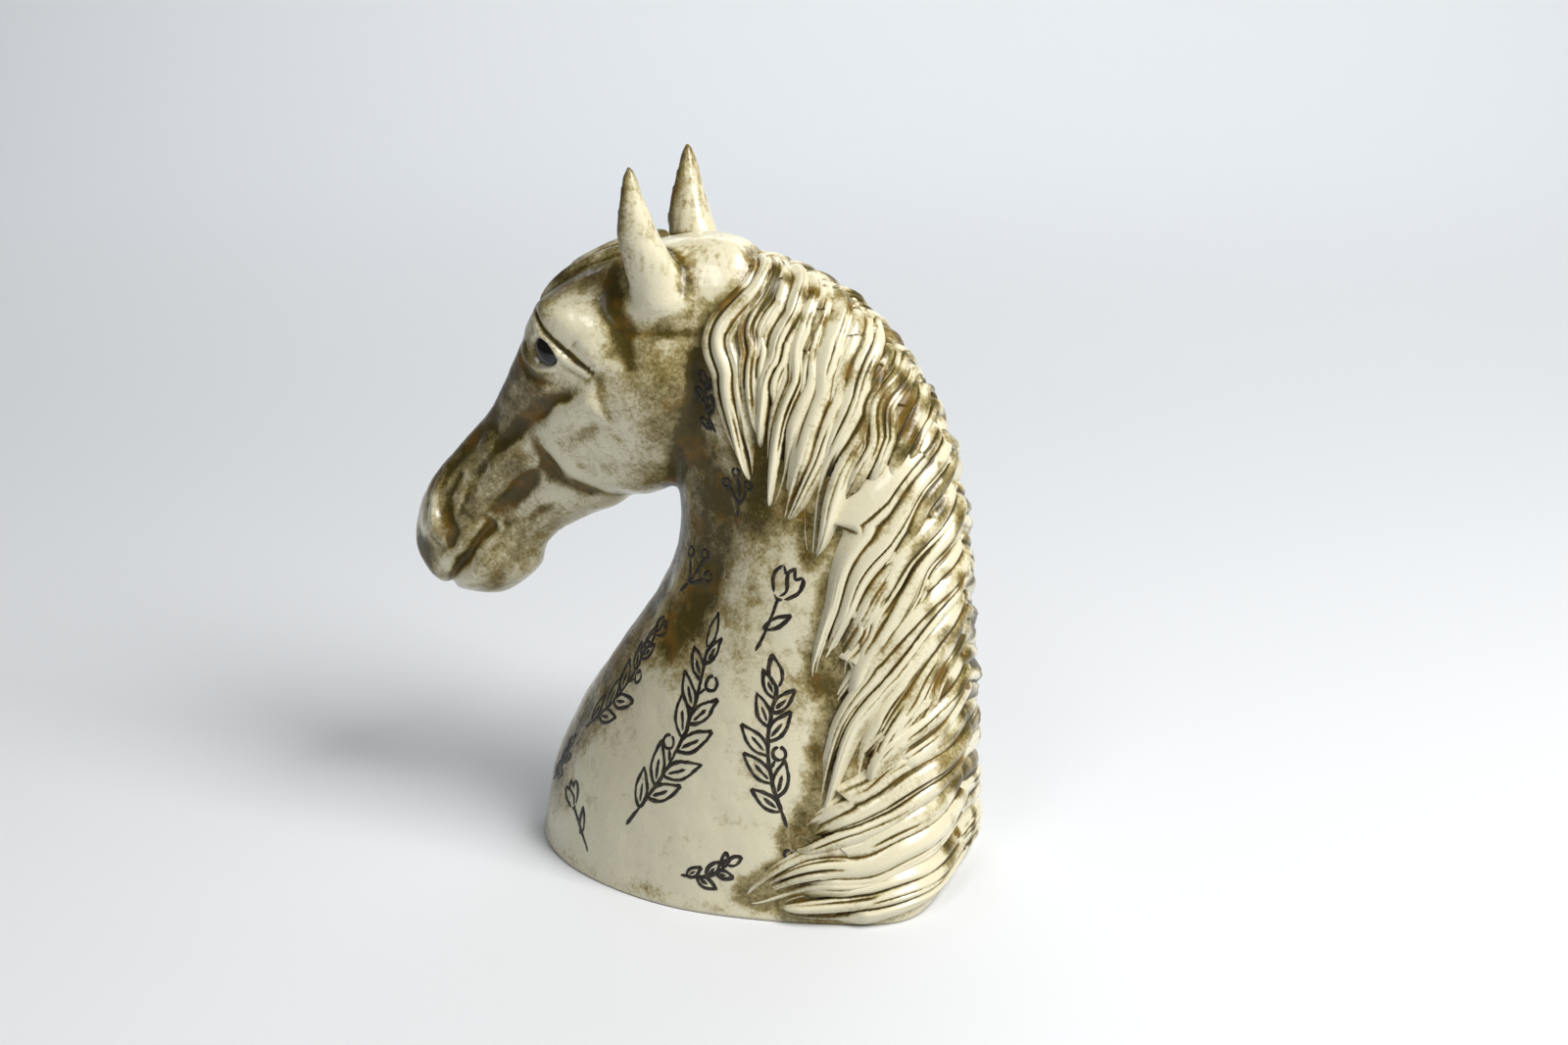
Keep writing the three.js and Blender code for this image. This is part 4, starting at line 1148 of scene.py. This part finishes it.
def shape_lock(name, surface, path, width, rise, seed, sizes, side, material, nodes, extra=0.05):
    place, length = lock_points(surface, path, width, rise, seed, sizes, side)
    bm = moved_grid(int(length / 0.75), int(max(44, width * 3.8)), place)
    lock = to_object(bm, name)
    mesh = lock.data
    points, normals, edges = mesh_points(mesh) / MM, mesh_normals(mesh), mesh_edges(mesh)
    fine = hollowness(points, normals, edges, 6, 0.2)
    wide = hollowness(points, normals, edges, 30, 0.7)
    set_attribute(mesh, "hollow", np.clip(0.5 * fine + 0.6 * wide, -0.28, 1.5))
    # Darker towards the crest: oxide in its cracks, and painted shade on the mane's back edge, which faces
    # away from the light.
    crest = smoothstep(-np.abs(points[:, 1]), -36, -10) if surface is NECK else np.full(len(points), 0.5)
    stain = get_attribute(mesh, "stain") + 0.14 * np.clip(lumps(points, seed, 22), -1, 1)
    set_attribute(mesh, "stain", extra + stain + crest * (0.42 + 0.5 * lumps(points, seed + 1, 11)))
    finish_piece(lock, material, nodes)
    return lock


class HORSE_OT_mane(bpy.types.Operator):
    """The locks of the mane, each with its own strands, laid from the crest down both sides of the neck"""
    bl_idname = "horse.mane"
    bl_label = "Mane"

    def execute(self, context):
        sizes = context.scene.horse_sizes
        material = material_named("stained_mane_glaze")
        for seed, (name, node, side, width, path) in enumerate(mane_paths()):
            root = ((path[0][0] + side * -0.02, path[0][1] + 0.01), *path[1:])
            shape_lock(name, NECK, root, width, MANE_RISE, 40 * seed + 7, sizes, side, material, (node,))
        return {"FINISHED"}


class HORSE_OT_forelock(bpy.types.Operator):
    """A short flat lock brought forward between the ears"""
    bl_idname = "horse.forelock"
    bl_label = "Forelock"

    def execute(self, context):
        width, rise, path = FORELOCK
        shape_lock("forelock_strands", HEAD, path, width, rise + 0.6, 9001, context.scene.horse_sizes, 0,
                   material_named("stained_mane_glaze"), ("forelock",), 0.45)
        return {"FINISHED"}


# Line drawing

def leaf_outline(length, width, turn=0.0):
    """A closed pointed leaf, in millimetres, from its foot at the origin."""
    t = np.linspace(0, 1, 15)
    half = width / 2 * np.sin(math.pi * t**0.85) * (1 - 0.15 * t)
    out = np.stack((t * length, half), 1)
    back = np.stack((t[::-1] * length, -half[::-1]), 1)
    return turned(np.concatenate((out, back[1:])), turn)


def ring_outline(radius, centre):
    angle = np.linspace(0, 2 * math.pi, 17)
    return np.stack((np.cos(angle), np.sin(angle)), 1) * radius + centre


def turned(line, angle):
    c, s = math.cos(angle), math.sin(angle)
    return np.asarray(line, float) @ np.array(((c, s), (-s, c)))


def olive_branch(length, bend, leaves, leaf_length, leaf_width, berries=()):
    """A bowed stem with leaves by turns on its two sides, and berries on short stalks."""
    t = np.linspace(0, 1, 24)
    stem = np.stack((length * t, bend * np.sin(math.pi * t * 0.9)), 1)
    lines = [stem]
    for i in range(leaves):
        at = 0.12 + 0.8 * i / max(1, leaves - 1)
        foot = np.array((length * at, bend * math.sin(math.pi * at * 0.9)))
        slope = math.atan2(bend * 0.9 * math.pi * math.cos(math.pi * at * 0.9), length)
        size = 1 - 0.35 * abs(at - 0.4) / 0.6
        side = 1 if i % 2 else -1
        angle = slope + side * (0.62 + 0.1 * math.sin(5 * i))
        if i in berries:
            stalk = turned(((0, 0), (leaf_length * 0.28, 0)), angle)
            lines.append(foot + stalk)
            centre = turned(((leaf_length * 0.28 + leaf_width * 0.36, 0),), angle)[0]
            lines.append(ring_outline(leaf_width * 0.36, foot + centre))
        else:
            lines.append(foot + leaf_outline(leaf_length * size, leaf_width * size, angle))
            lines.append(foot + turned(((leaf_length * 0.12, 0), (leaf_length * 0.62 * size, 0.15)), angle))
    tip = np.array((length, bend * math.sin(math.pi * 0.9)))
    lines.append(tip + leaf_outline(leaf_length * 0.75, leaf_width * 0.8, -0.2))
    return lines


def tulip(size):
    """A cup-shaped flower on a bowed stalk with one leaf."""
    t = np.linspace(0, 1, 14)
    side = np.stack((size * (1.0 + 0.95 * t), size * 0.5 * np.sin(math.pi * (0.12 + 0.62 * t))), 1)
    other = side * (1, -1)
    foot = np.stack((size * (1.0 - 0.1 * np.sin(math.pi * t)), size * 0.18 * (1 - 2 * t)), 1)
    middle = np.stack((size * (1.0 + 1.05 * t), size * 0.12 * np.sin(math.pi * 2 * t)), 1)
    stalk = np.stack((size * (0.95 - 1.9 * t), size * 0.25 * np.sin(1.7 * t)), 1)
    zigzag = np.array(((1.95, 0.37), (1.72, 0.18), (2.05, 0), (1.72, -0.18), (1.95, -0.37))) * size
    leaf = np.array((-0.2 * size, 0.1 * size)) + leaf_outline(size * 1.1, size * 0.32, 0.55)
    return [side, other, foot, middle, stalk, zigzag, leaf]


def berry_spray(size):
    """Three stalks from one foot, each with a ring at its end, and a short stem under them."""
    lines = []
    for angle, reach in ((-0.6, 0.85), (0.0, 1.1), (0.6, 0.8)):
        stalk = np.stack((np.linspace(0, reach, 8) * size, 0.06 * size * np.sin(np.linspace(0, 3, 8))), 1)
        lines.append(turned(stalk, angle))
        lines.append(ring_outline(size * 0.17, turned((((reach + 0.17) * size, 0),), angle)[0]))
    lines.append(np.array(((0, 0), (-0.5 * size, -0.1 * size))))
    return lines


# Millimetres between the points of a drawn line.
LINE_STEP = 0.7
# Motif, place (u, v) on the neck's left side and turn in degrees from straight up the neck.
LEFT_DRAWING = (
    (lambda: olive_branch(74, 9, 12, 18, 7, (4, 9)), (0.16, 0.1), 8),
    (lambda: olive_branch(50, -6, 9, 15.5, 6.4, (3,)), (0.258, 0.13), -12),
    (lambda: olive_branch(44, 6, 8, 14, 6, (5,)), (0.07, 0.2), 12),
    (lambda: tulip(11), (0.212, 0.41), 14),
    (lambda: tulip(9.5), (0.118, 0.06), -40),
    (lambda: berry_spray(11), (0.115, 0.47), 16),
    (lambda: berry_spray(9), (0.262, 0.06), 30),
    (lambda: berry_spray(9), (0.17, 0.6), 4),
    (lambda: olive_branch(19, 3, 5, 8.5, 4), (0.205, 0.05), 62),
    (lambda: tulip(7), (0.09, 0.36), 26),
    (lambda: olive_branch(20, 3, 5, 8.5, 4, ()), (0.04, 0.09), 20),
    (lambda: olive_branch(17, -2, 4, 7.5, 3.6, ()), (0.165, 0.73), 12),
)
RIGHT_DRAWING = (
    (lambda: olive_branch(80, -10, 14, 15, 6, (5, 10)), (0.815, 0.12), 4),
    (lambda: tulip(9), (0.75, 0.2), 18),
    (lambda: berry_spray(11), (0.88, 0.3), -14),
    (lambda: olive_branch(36, 5, 7, 11, 5, (3,)), (0.9, 0.07), -10),
    (lambda: berry_spray(9), (0.83, 0.55), 6),
    (lambda: olive_branch(24, 3, 6, 9, 4), (0.77, 0.06), 80),
)


def on_skin(lines, place, turn, skin_tree):
    """Lays flat lines on the neck round a place and drops them onto the skin: points and normals."""
    u, v = place
    middle = NECK.point(np.array([u]), np.array([v]))[0]
    along_v, normal = (x[0] for x in NECK.tangents(np.array([u]), np.array([v]))[1:])
    up = unit(along_v)
    side = np.cross(up, normal)
    for line in lines:
        flat = turned(line, math.radians(turn))
        yield drop(middle, up, side, flat, skin_tree)


def drop(middle, up, side, flat, skin_tree):
    """The nearest points of the skin to a flat line, and their normals."""
    points, normals = [], []
    for x, y in flat:
        start = middle + up * x + side * y
        hit = skin_tree.find_nearest(Vector(start * MM))
        points.append(np.array(hit[0]) / MM)
        normals.append(np.array(hit[1]))
    return np.array(points), np.array(normals)


def dense(line):
    """A line of points with about LINE_STEP between them."""
    line = np.asarray(line, float)
    length = np.concatenate(((0,), np.cumsum(np.linalg.norm(np.diff(line, axis=0), axis=1))))
    count = max(4, int(length[-1] / LINE_STEP))
    at = np.linspace(0, length[-1], count)
    return np.stack([np.interp(at, length, line[:, i]) for i in range(line.shape[1])], 1)


class HORSE_OT_drawing(bpy.types.Operator):
    """Branches, cups and berries drawn on the neck with a thin brush"""
    bl_idname = "horse.drawing"
    bl_label = "Line drawing"

    def execute(self, context):
        skin = bpy.data.objects.get("clay_skin")
        if skin is None:
            raise RuntimeError("the skin has to be made before the drawing on it")
        corners = [v.co for v in skin.data.vertices]
        tree = BVHTree.FromPolygons(corners, [p.vertices for p in skin.data.polygons])
        for name, drawing in (("drawing_left", LEFT_DRAWING), ("drawing_right", RIGHT_DRAWING)):
            bm = bmesh.new()
            seed = len(name)
            for make, place, turn in drawing:
                for points, normals in on_skin([dense(line) for line in make()], place, turn, tree):
                    seed += 1
                    join_into(bm, brush_stroke(points, normals, context.scene.horse_sizes.line / MM, seed))
            finish_piece(to_object(bm, name), material_named("brushed_oxide_slip"))
        return {"FINISHED"}


def brush_stroke(points, normals, width, seed):
    """A low rounded line of slip along points of the skin, thick and thin as a brush leaves it."""
    closed = np.linalg.norm(points[0] - points[-1]) < 0.3
    run = np.gradient(points, axis=0)
    if closed:
        run[0] = run[-1] = run[0] + run[-1]
    side = unit(np.cross(normals, unit(run)))
    count = len(points)

    def place(s, a):
        at = s * (count - 1)
        i = np.minimum(at.astype(int), count - 2)
        w = (at - i)[:, None]
        p, n, q = (x[i] * (1 - w) + x[i + 1] * w for x in (points, normals, side))
        along = s * count * LINE_STEP
        half = width / 2 * (1 + 0.28 * wander(along, seed, 3.0) + 0.12 * wander(along, seed + 90, 0.9))
        if not closed:
            half *= 0.35 + 0.65 * smoothstep(np.minimum(s, 1 - s) * count * LINE_STEP, 0, 1.6)
        angle = a * 2 * math.pi
        shift = 0.1 * wander(along, seed + 50, 1.6)
        out = p + q * (half * np.cos(angle) + shift)[:, None] + n * (0.06 + 0.13 * np.sin(angle))[:, None]
        shut = at_end(s)
        out[shut] = p[shut]
        return out * MM, None

    return moved_grid(max(4, count - 1), 8, place)


# Stage

class HORSE_OT_stage(bpy.types.Operator):
    """Pale paper sweep, soft window light from the right, and the camera"""
    bl_idname = "horse.stage"
    bl_label = "Stage"

    def execute(self, context):
        scene = context.scene
        scene.view_settings.view_transform = "Standard"
        add_camera(scene)
        add_sweep()
        add_lights(scene)
        return {"FINISHED"}


CAMERA_TARGET = np.array((0.0388, -0.00264, 0.12915))
CAMERA_AZIMUTH, CAMERA_ELEVATION, CAMERA_DISTANCE = 21.0, 18.0, 0.9
CAMERA_LENS, CAMERA_SENSOR = 58.4, 36
# The sweep in metres: how far the floor runs towards the camera and behind, and the curve up from it.
FLOOR_BEFORE, FLOOR_BEHIND, CURVE_RADIUS, CURVE_LENGTH = 1.6, 1.4, 0.7, 1.1


def view_direction(azimuth, elevation):
    """From the object towards a viewer: azimuth turns from -Y towards +X, in degrees."""
    a, e = math.radians(azimuth), math.radians(elevation)
    return np.array((math.sin(a) * math.cos(e), -math.cos(a) * math.cos(e), math.sin(e)))


def aim(obj, place, target):
    obj.location = place
    obj.rotation_euler = (Vector(target) - Vector(place)).to_track_quat("-Z", "Y").to_euler()


def add_camera(scene):
    data = bpy.data.cameras.new("camera")
    data.lens = CAMERA_LENS
    data.sensor_width = CAMERA_SENSOR
    camera = bpy.data.objects.new("camera", data)
    scene.collection.objects.link(camera)
    away = CAMERA_DISTANCE * view_direction(CAMERA_AZIMUTH, CAMERA_ELEVATION)
    aim(camera, CAMERA_TARGET + away, CAMERA_TARGET)
    scene.camera = camera


def add_sweep():
    """One sheet of paper, flat under the ornament and curved up far behind it."""
    colours = bpy.context.scene.horse_colours
    bm = bmesh.new()
    bmesh.ops.create_grid(bm, x_segments=2, y_segments=60, size=0.5)
    flat = vertex_array(bm)
    back = (flat[:, 1] + 0.5) * 5.2 - FLOOR_BEFORE
    bend = np.clip(back - FLOOR_BEHIND, 0, CURVE_LENGTH)
    curved = CURVE_RADIUS * (1 - np.cos(bend / CURVE_RADIUS))
    upright = CURVE_RADIUS + np.maximum(back - FLOOR_BEHIND - CURVE_LENGTH, 0)
    rise = np.where(bend < CURVE_LENGTH, curved, upright)
    away = np.minimum(back, FLOOR_BEHIND) + CURVE_RADIUS * np.sin(bend / CURVE_RADIUS)
    a = math.radians(CAMERA_AZIMUTH)
    right, behind = np.array((math.cos(a), math.sin(a), 0)), np.array((-math.sin(a), math.cos(a), 0))
    set_vertices(bm, flat[:, :1] * 6 * right + away[:, None] * behind + rise[:, None] * (0, 0, 1))
    bmesh.ops.recalc_face_normals(bm, faces=bm.faces)
    sweep = to_object(bm, "paper_sweep")
    material, tree, place = new_material("matt_paper")
    # Paper tooth, drawn at 1.5 mm so that it shows.
    tooth = noise(tree, place, 600.0, Detail=2.0)
    bump = bumped(tree, (tooth, "Fac"), 0.1, 0.2 * MM)
    add_surface(tree, {"Normal": (bump, 0)}, Roughness=0.8, Base_Color=tuple(colours.floor))
    sweep.data.materials.append(material)


def add_area(scene, name, azimuth, elevation, distance, size, power, colour, target=(0, 0, 0.12)):
    """A rectangular light seen from its target under an azimuth and elevation."""
    data = bpy.data.lights.new(name, "AREA")
    data.shape = "RECTANGLE"
    data.size, data.size_y = size
    data.energy = power
    data.color = colour
    lamp = bpy.data.objects.new(name, data)
    scene.collection.objects.link(lamp)
    aim(lamp, np.array(target) + distance * view_direction(azimuth, elevation), target)


def add_lights(scene):
    add_area(scene, "window", 74, 47, 1.5, (0.7, 0.9), 31, (1.0, 0.98, 0.95))
    add_area(scene, "high_window", 0, 46, 1.5, (0.3, 0.5), 3.0, (0.97, 0.985, 1.0))
    add_area(scene, "paper_light", 21, 86, 1.3, (2.6, 1.0), 18, (0.95, 0.98, 1.0), (-0.2, 1.7, 0))
    world = bpy.data.worlds.new("room")
    world.use_nodes = True
    background = world.node_tree.nodes["Background"]
    background.inputs["Color"].default_value = linear("#EAE7E0")
    background.inputs["Strength"].default_value = 0.12
    scene.world = world


# Add-on

class HORSE_PT_panel(bpy.types.Panel):
    """Sizes, colours and pieces of the ornament"""
    bl_idname = "HORSE_PT_panel"
    bl_label = "Ceramic horse head"
    bl_space_type = "VIEW_3D"
    bl_region_type = "UI"
    bl_category = "Horse head"

    def draw(self, context):
        for group in (context.scene.horse_sizes, context.scene.horse_colours):
            column = self.layout.column(align=True)
            for prop in group.bl_rna.properties:
                if prop.identifier not in {"rna_type", "name"}:
                    column.prop(group, prop.identifier)
        column = self.layout.column(align=True)
        for operator in OPERATORS:
            column.operator(operator.bl_idname)


OPERATORS = (HORSE_OT_stage, HORSE_OT_skin, HORSE_OT_eyes, HORSE_OT_mane, HORSE_OT_forelock, HORSE_OT_drawing)
CLASSES = (HorseSizes, HorseColours, *OPERATORS, HORSE_PT_panel)


def register():
    for cls in CLASSES:
        bpy.utils.register_class(cls)
    bpy.types.Scene.horse_sizes = bpy.props.PointerProperty(type=HorseSizes)
    bpy.types.Scene.horse_colours = bpy.props.PointerProperty(type=HorseColours)


def unregister():
    del bpy.types.Scene.horse_sizes
    del bpy.types.Scene.horse_colours
    for cls in reversed(CLASSES):
        bpy.utils.unregister_class(cls)


def main():
    register()
    bpy.ops.horse.stage()
    bpy.ops.horse.skin()
    bpy.ops.horse.eyes()
    bpy.ops.horse.mane()
    bpy.ops.horse.forelock()
    bpy.ops.horse.drawing()


if __name__ == "__main__":
    main()
